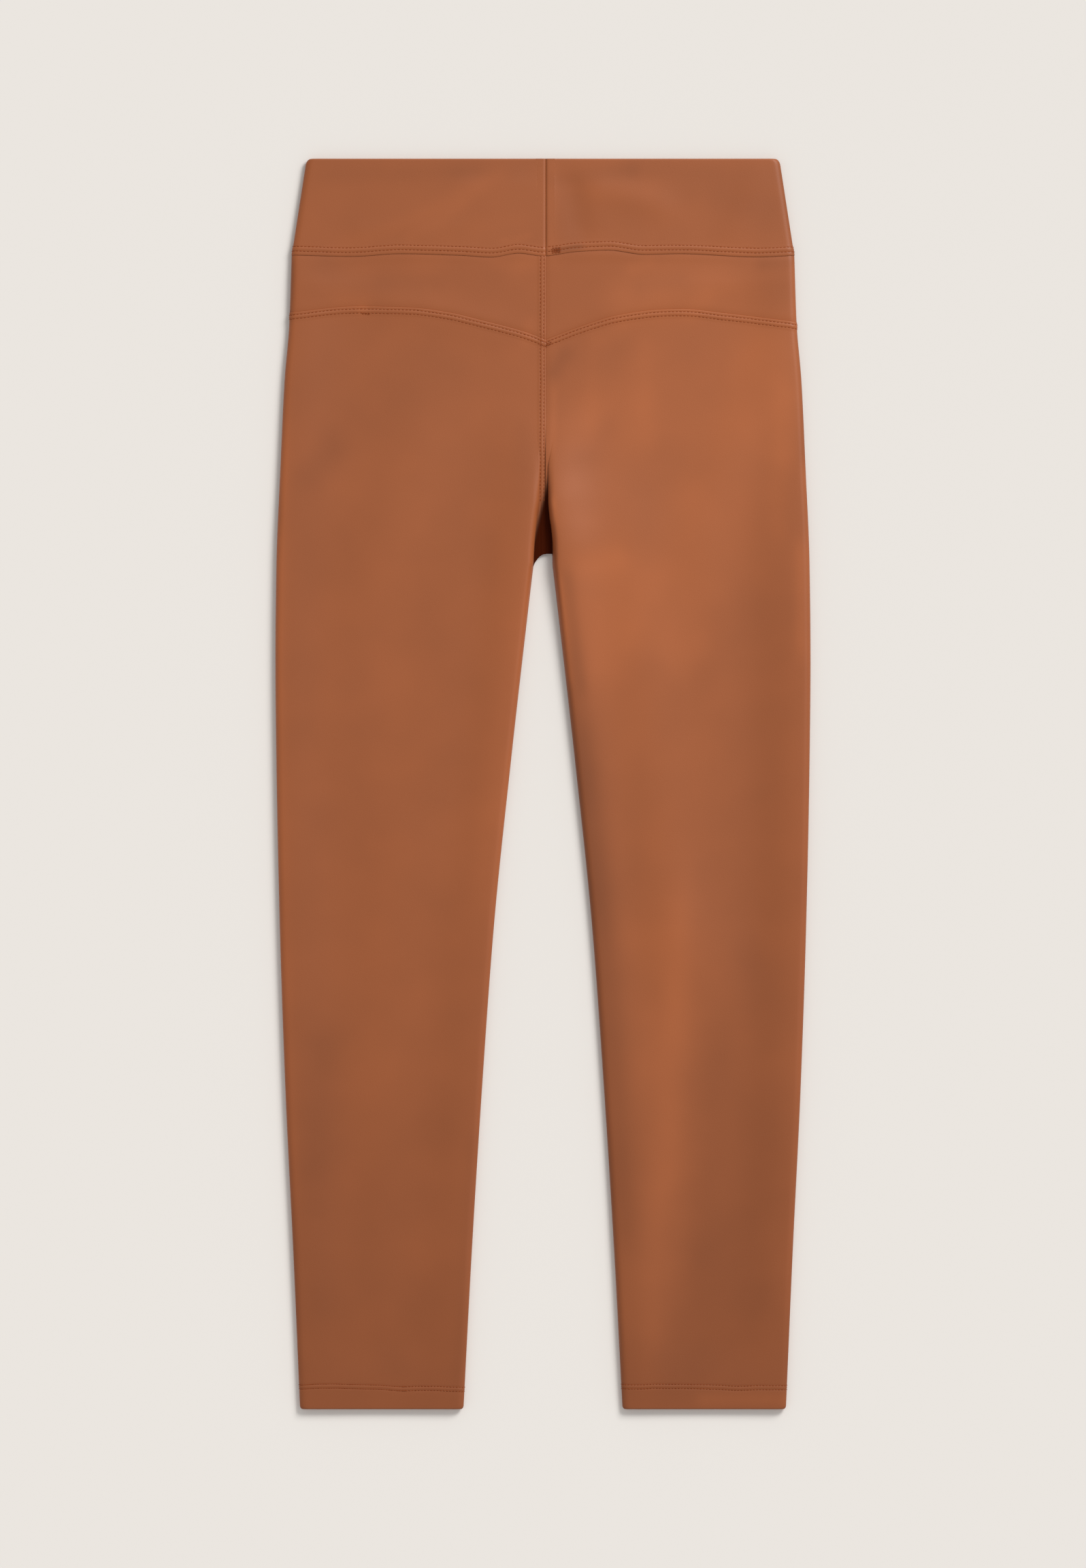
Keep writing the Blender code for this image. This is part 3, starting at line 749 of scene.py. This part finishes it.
def wovenMaterial(name, look, wave, direction, noise=None):  # ribs or slanting plies
    material, tree, shader = newMaterial(name, look)
    place = addNode(tree, "ShaderNodeTexCoord")["Object"]
    lines = addNode(tree, "ShaderNodeTexWave", {"Vector": place, **wave}, bands_direction=direction)["Fac"]
    shade = addNode(tree, "ShaderNodeTexNoise", {"Vector": place, **noise})["Fac"] if noise else lines
    tree.links.new(shadeRamp(tree, shade, look), shader["Base Color"])
    addBump(tree, shader, lines, look["bump"], look["ribHeight"])
    return material


bodyLook = {
    "colour": (0.318, 0.0892, 0.0272),
    "shades": (0.955, 1.045),  # its darkest and lightest patches
    "paintedShade": (0.045, 0.007, 0.002),  # the painted shade's colour, in the fold above the crotch
    "paintedShadeTones": (0.1, 0.75),  # the tones between which the painted shade turns to the coating's own colour
    "roughness": 0.5,
    "dull": 0.9,
    "dullTones": (0.1, 0.8),
    "shine": 0.32,
    "patch": 0.05,
    "grain": 0.0008,
    "bump": 0.1,
    "seed": 1.7,
}
bandLook = dict(bodyLook, colour=(0.314, 0.088, 0.0265), seed=4.1)
threadLook = {"colour": (0.26, 0.058, 0.015), "shades": (0.75, 1.25), "roughness": 0.8, "shine": 0.08}
threadLook.update(bump=0.4, ribHeight=0.0001)
knitLook = {"colour": (0.30, 0.10, 0.045), "shades": (0.8, 1.0), "roughness": 0.85, "shine": 0.5}
knitLook.update(bump=0.3, ribHeight=0.0002)
plies = {"Scale": 1400.0, "Distortion": 1.0}
ribs = {"Scale": 330.0, "Distortion": 1.5, "Detail": 1.0}
mottle = mottleGroup()
grain = grainGroup()
bodyCloth = coatedCloth("fauxLeather", bodyLook)
bandCloth = coatedCloth("fauxLeatherBand", bandLook)
thread = wovenMaterial("sewingThread", threadLook, plies, "DIAGONAL", {"Scale": 900.0, "Detail": 2.0})
knit = wovenMaterial("knitBacking", knitLook, ribs, "X")
print("materials made")

# Stitches: a tree lays one short bowed stitch after another along paths on the cloth
stitchStyle = {
    "pitch": 2.75,
    "stitch": 2.0,
    "radius": 0.27,
    "lift": 0.1,
    "sit": 0.45,  # how high the thread's middle sits, as a share of its radius
    "uneven": 0.12,
    "sizes": (0.85, 1.12),
    "seed": 5,
}


def threadInputs(style):  # the tree's inputs, lengths in metres
    lengths = {"Pitch": "pitch", "Stitch Length": "stitch", "Thread Radius": "radius", "Lift": "lift"}
    inputs = {name: style[key] * mm for name, key in lengths.items()}
    return dict(inputs, Uneven=style["uneven"], Seed=style["seed"])


def stitchTree():
    tree = bpy.data.node_groups.new("twinNeedleStitches", "GeometryNodeTree")
    tree.interface.new_socket("Geometry", in_out="INPUT", socket_type="NodeSocketGeometry")
    for name, value in threadInputs(stitchStyle).items():
        kind = "NodeSocketInt" if name == "Seed" else "NodeSocketFloat"
        tree.interface.new_socket(name, in_out="INPUT", socket_type=kind).default_value = value
    tree.interface.new_socket("Geometry", in_out="OUTPUT", socket_type="NodeSocketGeometry")
    given = addNode(tree, "NodeGroupInput")

    def times(value, share):
        return maths(tree, "MULTIPLY", value, share)

    def point(x, z):
        return addNode(tree, "ShaderNodeCombineXYZ", {"X": x, "Z": z})[0]

    half = times(given["Stitch Length"], 0.5)
    down = times(given["Thread Radius"], -1.4)
    bow = {
        "Resolution": 5,
        "Start": point(times(half, -1.0), down),
        "Middle": point(0.0, times(given["Lift"], 3.0)),
        "End": point(half, down),
    }
    arc = addNode(tree, "GeometryNodeCurveQuadraticBezier", bow)
    profile = {"Resolution": 6, "Radius": given["Thread Radius"]}
    ring = addNode(tree, "GeometryNodeCurvePrimitiveCircle", profile)
    swept = {"Curve": arc["Curve"], "Profile Curve": ring["Curve"], "Fill Caps": True}
    stitch = addNode(tree, "GeometryNodeCurveToMesh", swept)
    path = addNode(tree, "GeometryNodeMeshToCurve", {"Mesh": given["Geometry"]})
    steps = {"Curve": path["Curve"], "Length": given["Pitch"]}
    spots = addNode(tree, "GeometryNodeResampleCurve", steps, mode="LENGTH")
    tangent = addNode(tree, "GeometryNodeInputTangent")[0]
    wayOut = addNode(tree, "GeometryNodeInputNamedAttribute", {"Name": "wayOut"}, data_type="FLOAT_VECTOR")
    along = addNode(tree, "FunctionNodeAlignRotationToVector", {"Vector": tangent}, axis="X")
    lying = {"Rotation": along[0], "Vector": wayOut[0]}
    upright = addNode(tree, "FunctionNodeAlignRotationToVector", lying, axis="Z", pivot_axis="X")
    most = addNode(tree, "ShaderNodeCombineXYZ", {"Z": given["Uneven"]})[0]
    least = addNode(tree, "ShaderNodeVectorMath", {0: most, 1: (-1.0, -1.0, -1.0)}, operation="MULTIPLY")
    swing = {"Min": least[0], "Max": most, "Seed": given["Seed"]}
    spin = addNode(tree, "FunctionNodeRandomValue", swing, data_type="FLOAT_VECTOR")
    angles = addNode(tree, "FunctionNodeEulerToRotation", {0: spin[0]})
    both = {0: upright[0], 1: angles[0]}
    turned = addNode(tree, "FunctionNodeRotateRotation", both, rotation_space="LOCAL")
    low, high = stitchStyle["sizes"]
    spread = {"Min": low, "Max": high, "Seed": given["Seed"]}
    size = addNode(tree, "FunctionNodeRandomValue", spread, data_type="FLOAT")[1]
    laid = {"Points": spots["Curve"], "Instance": stitch["Mesh"], "Rotation": turned[0], "Scale": size}
    place = addNode(tree, "GeometryNodeInstanceOnPoints", laid)
    real = addNode(tree, "GeometryNodeRealizeInstances", {0: place[0]})
    dressed = addNode(tree, "GeometryNodeSetMaterial", {"Geometry": real[0], "Material": thread})
    addNode(tree, "NodeGroupOutput", {0: dressed[0]})
    return tree


stitches = stitchTree()


def tracePath(grid, field, level, alongRows):
    # the points of the outer face where a field that falls or rises steadily crosses a level
    points = []
    lines = range(grid.shown.shape[1]) if alongRows else range(grid.shown.shape[0])
    for k in lines:
        where = (slice(None), k) if alongRows else (k, slice(None))
        shown = grid.shown[where]
        off = (field - level)[where]
        crossing = np.nonzero((off[:-1] * off[1:] <= 0) & shown[:-1] & shown[1:])[0]
        if len(crossing) == 0:
            continue
        i = crossing[-1]
        share = off[i] / (off[i] - off[i + 1]) if off[i] != off[i + 1] else 0.0
        place = mix(grid.outer[where][i], grid.outer[where][i + 1], share)
        way = mix(grid.out[where][i], grid.out[where][i + 1], share)
        points.append((place, way / np.linalg.norm(way)))
    return points


def seamPaths(grid, lap, distance, along, phase, alongRows):  # a path for each needle
    return [tracePath(grid, distance, rowPlace(row, along, phase), alongRows) for row in lap["rows"]]


def pathAbove(path, height):
    return [spot for spot in path if spot[0][1] > height - length / 2]


def sewRows(name, paths, **changes):
    # paths are lists of (place, way out). The result is one plain mesh of thread.
    style = dict(stitchStyle, **changes)
    vertices = []
    ways = []
    edges = []
    for path in paths:
        first = len(vertices)
        edges += [(k, k + 1) for k in range(first, first + len(path) - 1)]
        vertices += [tuple((place + way * style["radius"] * style["sit"]) * mm) for place, way in path]
        ways += [way for place, way in path]
    data = bpy.data.meshes.new(name + "Paths")
    data.from_pydata(vertices, edges, [])
    attribute = data.attributes.new("wayOut", "FLOAT_VECTOR", "POINT")
    attribute.data.foreach_set("vector", np.array(ways, np.float32).ravel())
    guide = addObject(name + "Paths", data)
    modifier = guide.modifiers.new("stitches", "NODES")
    modifier.node_group = stitches
    values = threadInputs(style)
    for item in stitches.interface.items_tree:
        if item.in_out == "INPUT" and item.name in values:
            modifier[item.identifier] = values[item.name]
    evaluated = guide.evaluated_get(bpy.context.evaluated_depsgraph_get())
    mesh = bpy.data.meshes.new_from_object(evaluated)
    bpy.data.objects.remove(guide)
    mesh.name = name
    mesh.shade_smooth()
    print(name, len(mesh.polygons), "faces")
    return addPiece(name, mesh)


def onCloth(grid, side, runs):  # runs of (x, height) spots set on a grid's outer face
    paths = []
    for run in runs:
        path = []
        for x, height in run:
            off = (side * grid.across - x) ** 2 + (grid.height - height) ** 2
            r, c = np.unravel_index(np.argmin(np.where(grid.shown, off, np.inf)), off.shape)
            path.append((np.array((x, height - length / 2, grid.outer[r, c, 2])), grid.out[r, c]))
        paths.append(path)
    return paths


snags = {  # places that were sewn over again: short runs from one (x, height) to another
    "tack": (
        ((7.6, 852.3), (12.0, 852.6)),
        ((6.9, 851.4), (12.6, 851.5)),
        ((7.3, 850.5), (12.2, 850.8)),
        ((6.8, 849.7), (12.5, 849.7)),
        ((7.4, 848.8), (11.8, 849.1)),
    ),
    -1: (((-133.0, 804.9), (-127.6, 804.3)), ((-132.2, 804.1), (-128.2, 803.7))),
    1: (((3.4, 782.4), (5.6, 783.2)), ((3.2, 781.4), (5.2, 782.0))),
}
tackStyle = {"pitch": 1.5, "stitch": 1.7, "radius": 0.34, "uneven": 0.35, "seed": 2}
snagStyle = {"pitch": 1.5, "stitch": 1.6, "radius": 0.3, "uneven": 0.2, "seed": 4}
hemStyle = {"pitch": 2.3, "stitch": 1.6, "radius": 0.27, "uneven": 0.25}
tightHem = {"pitch": 1.9, "stitch": 2.1, "radius": 0.24, "sit": 0.15, "uneven": 0.05, "seed": 6}


def hemShift(side, x):
    return curveThrough(hemLines[side], x) - hemLap["rows"][1]


# The hems
hem = {
    "foldRows": (0.0, 0.12, 0.35, 0.7, 1.2, 1.8, 2.6, 4.5, 7.0, 9.5, 12.0),
    "stitchRows": (13.2, 20.4, 0.6),  # the lowest, the highest and the step
    "edge": 1.2,  # how fast the turned-up cloth ends
    "tightBefore": -101.0,  # x where the left hem's tight stitches end
    "plainAfter": -104.0,  # x from which its stitches read as dashes
}


def hemRows():
    return list(hem["foldRows"]) + spaced(*hem["stitchRows"])


def foldInset(distance, wall):  # how far a fold's two faces draw together
    return garment["foldShare"] * wall / 2 * roundOff(distance, wall / 2)


def hemSection(heights):  # the wall and how far its fold is rounded
    turned = within((garment["hemDepth"] + hem["edge"] - heights) / hem["edge"])
    return mix(garment["cloth"], garment["hemWall"], turned), foldInset(heights, garment["hemWall"])


# The back legs
backLeg = {
    "rowStep": 3.0,
    "crotchStep": 2.0,
    "crotchClear": 1.5,  # the level rows end this far below the crotch
    "lowSeat": 745.0,
    "seatRows": 22,
    "lastLegRow": 618.4,
    "nearSeam": (-0.04, 0.15, 0.4, 0.7, 1.1, 1.6, 2.1, 2.6, 3.2, 3.8, 4.3, 4.8, 5.3, 5.9, 6.5, 7.1, 8.0),
    "sewnFrom": 4.0,  # the centre seam's stitches end this far above the dark of the hollow
}


def makeBackLeg(hand):
    side = sideOf[hand]
    crotch = garment["crotch"][side]
    levels = hemRows() + spaced(hem["stitchRows"][1], backLeg["lastLegRow"], backLeg["rowStep"])[1:]
    if side > 0:
        levels += spaced(backLeg["lastLegRow"], crotch - backLeg["crotchClear"], backLeg["rowStep"])[1:]
    steps = spaced(0.0, backLeg["lowSeat"] - crotch, backLeg["crotchStep"])[:-1]
    rows = rowsAt(backColumns, levels) + crotchRows(side, crotch, backColumns, steps)
    seam = yokeSeamAt(side)
    low = np.full(len(backColumns), backLeg["lowSeat"])
    rows += list(rowsBetween(low, seam, (0.0,), backLeg["nearSeam"], backLeg["seatRows"]))
    heights = np.array(rows)
    grid = backGrid(side, heights, hemSection(heights))
    along = grid.across * side
    toYoke = seam[None, :] - heights
    fromHem = heights - hemShift(side, along)
    seatPhase = yokeLap["phase"] + side
    hemPhase = hemLap["phase"] * side
    relief = centreBackRelief(side, grid)
    relief = relief + beside(toYoke, lapRelief(toYoke, yokeLap, along, seatPhase))
    relief = relief - beside(heights, grooves(fromHem, hemLap, along, hemPhase))
    grid = moved(grid, relief)
    piece = makePanel("backLeg" + hand.capitalize(), grid, "leg_back_" + hand, bodyCloth)
    seat = seamPaths(grid, yokeLap, toYoke, along, seatPhase, True)
    if side < 0:
        centre = seamPaths(grid, backLap, fromCentre(side, grid), heights, backLap["phase"], False)
        seat += [pathAbove(path, hollow["top"] + backLeg["sewnFrom"]) for path in centre]
    hems = seamPaths(grid, hemLap, fromHem, along, hemPhase, True)
    sewn = [sewRows("seatStitches" + hand.capitalize(), seat, seed=yokeLap["seed"] + side)]
    if side < 0:  # the left hem's needle ran tight at first, so its stitches read as a groove
        tight = [[spot for spot in path if spot[0][0] < hem["tightBefore"]] for path in hems]
        hems = [[spot for spot in path if spot[0][0] > hem["plainAfter"]] for path in hems]
        sewn.append(sewRows("tightHemStitches", tight, **tightHem))
    sewn.append(sewRows("hemStitches" + hand.capitalize(), hems, seed=hemLap["seed"] + side, **hemStyle))
    sewn.append(sewRows("snag" + hand.capitalize(), onCloth(grid, side, snags[side]), **snagStyle))


# The yoke
yokePiece = {"nearEdges": (-0.04, 0.15, 0.4, 0.8, 1.4, 2.2, 3.4, 5.0), "rows": 18}


def makeYoke(hand):
    side = sideOf[hand]
    low = yokeSeamAt(side)
    high = bandSeamAt(side)
    heights = rowsBetween(low, high, yokePiece["nearEdges"], yokePiece["nearEdges"], yokePiece["rows"])
    grid = backGrid(side, heights, plainSection(heights))
    dips = dipRelief(heights - low[None, :]) + dipRelief(high[None, :] - heights)
    grid = moved(grid, centreBackRelief(side, grid) + dips)
    piece = makePanel("yoke" + hand.capitalize(), grid, "yoke_back_" + hand, bodyCloth)
    if side < 0:
        paths = seamPaths(grid, backLap, fromCentre(side, grid), heights, backLap["phase"], False)
        sewRows("yokeStitchesLeft", paths, seed=backLap["seed"])


# The waistband
waistband = {
    "nearSeam": (
        -0.04, 0.15, 0.4, 0.7, 1.1, 1.6, 2.2, 2.7, 3.2, 3.7, 4.3, 4.9, 5.4, 5.9, 6.4, 6.9, 7.4, 8.0, 9.0,
    ),
    "nearFold": (0.0, 0.1, 0.3, 0.6, 1.0, 1.5, 2.2, 3.2, 4.5),
    "backRows": 22,
    "frontRows": 18,
    "frontRolls": 7,
    "frontSteps": 90,  # columns between its two rolled sides
    "centreDip": 0.45,
    "centreReach": 1.0,
}


def bandSection(heights):
    return np.full(heights.shape, garment["bandWall"]), foldInset(length - heights, garment["bandWall"])


def makeBandBack(hand):
    side = sideOf[hand]
    low = bandSeamAt(side)
    high = np.full(len(backColumns), length)
    heights = rowsBetween(low, high, waistband["nearSeam"], waistband["nearFold"], waistband["backRows"])
    grid = backGrid(side, heights, bandSection(heights), bandFolds)
    along = grid.across * side
    fromSeam = heights - low[None, :]
    centre = fromCentre(side, grid)
    phase = bandLap["phase"] + side
    relief = beside(fromSeam, lapRelief(fromSeam, bandLap, along, phase)) - edgeLoss(centre)
    relief = relief - waistband["centreDip"] * np.exp(-((centre / waistband["centreReach"]) ** 2))
    grid = moved(grid, relief)
    piece = makePanel("bandBack" + hand.capitalize(), grid, "waistband_back_" + hand, bandCloth)
    paths = seamPaths(grid, bandLap, fromSeam, along, phase, True)
    sewn = [sewRows("bandStitches" + hand.capitalize(), paths, seed=bandLap["seed"] + side)]
    if side > 0:
        sewn.append(sewRows("backTack", onCloth(grid, side, snags["tack"]), **tackStyle))


# The hidden front
frontPiece = {
    "rowStep": 6.0,
    "crotchClear": 1.5,
    "nearCrotch": (0.0, 2.0, 4.5, 7.5, 11.0, 15.0, 20.0),
    "nearBand": (6.0, 4.5, 3.0, 2.0, 1.2, 0.6, 0.25, 0.0),
    "webRecess": 1.2,
    "turnEnd": 600.0,
    "turnFade": 110.0,
    "underStep": 0.45,  # the legs' edge lies under the band's lap
    "underReach": 12.0,
    "underEdge": 0.5,  # the share of an edge's drop that shows there
    "centreEdge": 0.9,  # and at the centre seam
    "centreReach": 12.0,
    "sewnFrom": 5.0,  # the centre seam's stitches end this far above the crotch
}


def frontRows(side):
    crotch = frontCrotch(side)
    last = crotch - frontPiece["crotchClear"]
    step = frontPiece["rowStep"]
    top = garment["bandSeamHeight"] + garment["faceOverlap"]
    near = frontPiece["nearBand"]
    levels = hemRows() + spaced(hem["stitchRows"][1], last, step)[1:]
    above = spaced(crotch + frontPiece["nearCrotch"][-1], top - near[0], step)[1:]
    above += [top - below for below in near[1:]]
    bent = crotchRows(side, crotch, frontColumns, frontPiece["nearCrotch"])
    return np.array(rowsAt(frontColumns, levels) + bent + rowsAt(frontColumns, above))


def makeFrontLeg(hand):
    side = sideOf[hand]
    heights = frontRows(side)
    grid = gridOf(frontColumn, -1, side, frontColumns, heights, *hemSection(heights), floorFolds)
    along = grid.across * side
    hemPhase = frontHem["phase"] * side
    toBand = garment["bandSeamHeight"] - heights
    centre = fromCentre(side, grid)
    inBody = (heights > frontCrotch(side)) & (centre < frontPiece["centreReach"])
    relief = floorGrooves(heights, frontHem, along, hemPhase)
    if side < 0:
        relief = relief + floorGrooves(centre, frontCentre, heights, frontCentre["phase"]) * inBody
    relief = relief + frontPiece["centreEdge"] * edgeLoss(centre) * inBody
    down = np.clip(-grid.out[..., 2], 0.0, 1.0)
    step = frontPiece["underStep"] * np.exp(-((toBand / frontPiece["underReach"]) ** 2)) * down
    grid = grid._replace(inner=grid.inner + step[..., None] * np.array((0, 0, 1)))
    grid = moved(grid, -relief - step - frontPiece["underEdge"] * edgeLoss(toBand))
    piece = makePanel("frontLeg" + hand.capitalize(), grid, "leg_front_" + hand, bodyCloth)
    hems = seamPaths(grid, frontHem, heights, along, hemPhase, True)
    style = dict(hemStyle, lift=0.0, seed=frontHem["seed"] + side)
    sewn = [sewRows("frontHemStitches" + hand.capitalize(), hems, **style)]
    if side < 0:
        paths = seamPaths(grid, frontCentre, centre, heights, frontCentre["phase"], False)
        paths = [pathAbove(path, frontCrotch(side) + frontPiece["sewnFrom"]) for path in paths]
        sewn.append(sewRows("frontCentreStitches", paths, lift=0.0, seed=frontCentre["seed"]))


def joined(left, right):  # from one rolled side straight over to the other
    steps = waistband["frontSteps"]
    middle = [mix(left[:, -1], right[:, -1], k / steps) for k in range(1, steps)]
    return np.concatenate([left, np.stack(middle, 1), right[:, ::-1]], axis=1)


def makeBandFront():
    rolls = [("outerRoll", angle) for angle in np.linspace(0, 90, waistband["frontRolls"])]
    low = np.array([garment["bandSeamHeight"]])
    high = np.array([length])
    spine = rowsBetween(low, high, waistband["nearSeam"], waistband["nearFold"], waistband["frontRows"])
    heights = np.repeat(spine, len(rolls), axis=1)
    section = bandSection(heights)
    left, right = [gridOf(frontColumn, -1, side, rolls, heights, *section, floorFolds) for side in (-1, 1)]
    fields = ("outer", "inner", "out")
    faces = {field: joined(getattr(left, field), getattr(right, field)) for field in fields}
    across = faces["outer"][..., 0]
    plain = np.ones(across.shape)
    grid = Grid(shown=plain > 0, across=across, height=spine * plain, tone=plain, **faces)
    fromSeam = grid.height - garment["bandSeamHeight"]
    phase = frontBand["phase"]
    grid = moved(grid, -floorGrooves(fromSeam, frontBand, across, phase))
    piece = makePanel("bandFront", grid, "waistband_front", bandCloth)
    paths = seamPaths(grid, frontBand, fromSeam, across, phase, True)
    sewn = [sewRows("frontBandStitches", paths, lift=0.0, seed=frontBand["seed"])]


# Light, floor and camera
studio = {
    "lamp": (1.35, 1.55, 1.75),  # metres from the garment's middle
    "lampAim": (0.0, 0.0, 0.0),
    "lampSize": 1.2,
    "lampSpread": 70.0,  # degrees. The light falls off gently towards the hems.
    "lampSteps": 6,
    "key": 0.58,  # the lamp's share of light on flat cloth at the point that it aims at
    "fill": 0.47,
    "paper": (0.831, 0.791, 0.745),  # what the floor shows
    "paperGlow": 0.06,
    "nearFloor": 4.0,  # metres from the middle, in even squares
    "farFloor": (5.0, 7.0, 10.0, 15.0, 25.0, 40.0),
    "floorSquares": 80,
    "floorZ": -0.0004,
    "palest": 1.3,  # the most that the paper's tone makes up for the lamp's fall
    "cameraHeight": 6.0,
    "viewTall": 1.152,  # metres seen from top to bottom, as the photograph frames it
    "sensor": 36.0,
}


def lampReach(spots):  # how strongly the lamp's whole square lights level spots
    centre = Vector(studio["lamp"])
    ahead = (Vector(studio["lampAim"]) - centre).normalized()
    turn = ahead.to_track_quat("-Z", "Y")
    halfSpread = math.tan(math.radians(studio["lampSpread"] / 2))
    total = np.zeros(len(spots))
    count = studio["lampSteps"]
    steps = [(k + 0.5) / count - 0.5 for k in range(count)]
    for u in steps:
        for v in steps:
            offset = turn @ Vector((u * studio["lampSize"], v * studio["lampSize"], 0.0))
            away = spots - np.array(centre + offset)
            far = np.linalg.norm(away, axis=1)
            facing = away @ np.array(ahead) / far
            spread = np.clip(1 - np.sqrt(1 - facing**2) / facing / halfSpread, 0, 1)
            total += -away[:, 2] / far * facing / far**2 * spread
    return total / count**2


def lampPower():  # in watts, for the key that the settings ask for
    half = math.radians(studio["lampSpread"] / 2)
    gain = math.tan(half) / (math.tan(half) - half)
    return studio["key"] * math.pi**2 / gain / lampReach(np.array([studio["lampAim"]]))[0]


def makeFloor():
    data = bpy.data.meshes.new("paleFloor")
    near = np.linspace(-studio["nearFloor"], studio["nearFloor"], studio["floorSquares"] + 1)
    line = np.concatenate([-np.array(studio["farFloor"])[::-1], near, studio["farFloor"]])
    spots = [(x, y, studio["floorZ"]) for y in line for x in line]
    wide = len(line)
    corners = [r * wide + c for r in range(wide - 1) for c in range(wide - 1)]
    data.from_pydata(spots, [], [(k, k + 1, k + wide + 1, k + wide) for k in corners])
    # The paper's tone makes up for the lamp's fall, so that it reads even all over
    reach = lampReach(np.array(spots)) / lampReach(np.array([studio["lampAim"]]))[0]
    light = studio["fill"] + studio["key"] * reach
    paper = np.array(studio["paper"])[None, :]
    tone = (paper - studio["paperGlow"]) * np.minimum(1 / light, studio["palest"])[:, None]
    for name, colours in (("paperTone", tone), ("paperGlow", paper - tone * light[:, None])):
        colours = np.concatenate([colours, np.ones((len(colours), 1))], axis=1)
        attribute = data.attributes.new(name, "FLOAT_COLOR", "POINT")
        attribute.data.foreach_set("color", colours.astype(np.float32).ravel())
    material, tree, shader = newMaterial("palePaper", {"roughness": 0.9, "shine": 0.0})
    shader["Emission Strength"].default_value = 1.0
    for name, socket in (("paperTone", "Base Color"), ("paperGlow", "Emission Color")):
        painted = addNode(tree, "ShaderNodeAttribute", attribute_name=name)
        tree.links.new(painted["Color"], shader[socket])
    data.materials.append(material)
    addObject("paleFloor", data)


def makeLight():
    lamp = bpy.data.lights.new("softLamp", "AREA")
    lamp.shape = "SQUARE"
    lamp.size = studio["lampSize"]
    lamp.spread = math.radians(studio["lampSpread"])
    lamp.energy = lampPower()
    lampObject = addObject("softLamp", lamp)
    lampObject.location = studio["lamp"]
    towards = Vector(studio["lampAim"]) - Vector(studio["lamp"])
    lampObject.rotation_euler = towards.to_track_quat("-Z", "Y").to_euler()
    world = bpy.data.worlds.new("softRoom")
    bpy.context.scene.world = world
    world.use_nodes = True
    world.node_tree.nodes["Background"].inputs["Color"].default_value = (1, 1, 1, 1)
    world.node_tree.nodes["Background"].inputs["Strength"].default_value = studio["fill"]


def makeCamera():
    camera = bpy.data.cameras.new("topCamera")
    camera.sensor_width = studio["sensor"]
    camera.lens = studio["sensor"] * studio["cameraHeight"] / studio["viewTall"]
    camera.dof.use_dof = False
    cameraObject = addObject("topCamera", camera)
    cameraObject.location = (0.0, 0.0, studio["cameraHeight"])
    bpy.context.scene.camera = cameraObject
    bpy.context.scene.view_settings.view_transform = "Standard"


makeFloor()
makeLight()
makeCamera()
print("studio made")
for hand in sideOf:
    makeFrontLeg(hand)
    makeBackLeg(hand)
    makeYoke(hand)
    makeBandBack(hand)
makeBandFront()
print("leggings made")
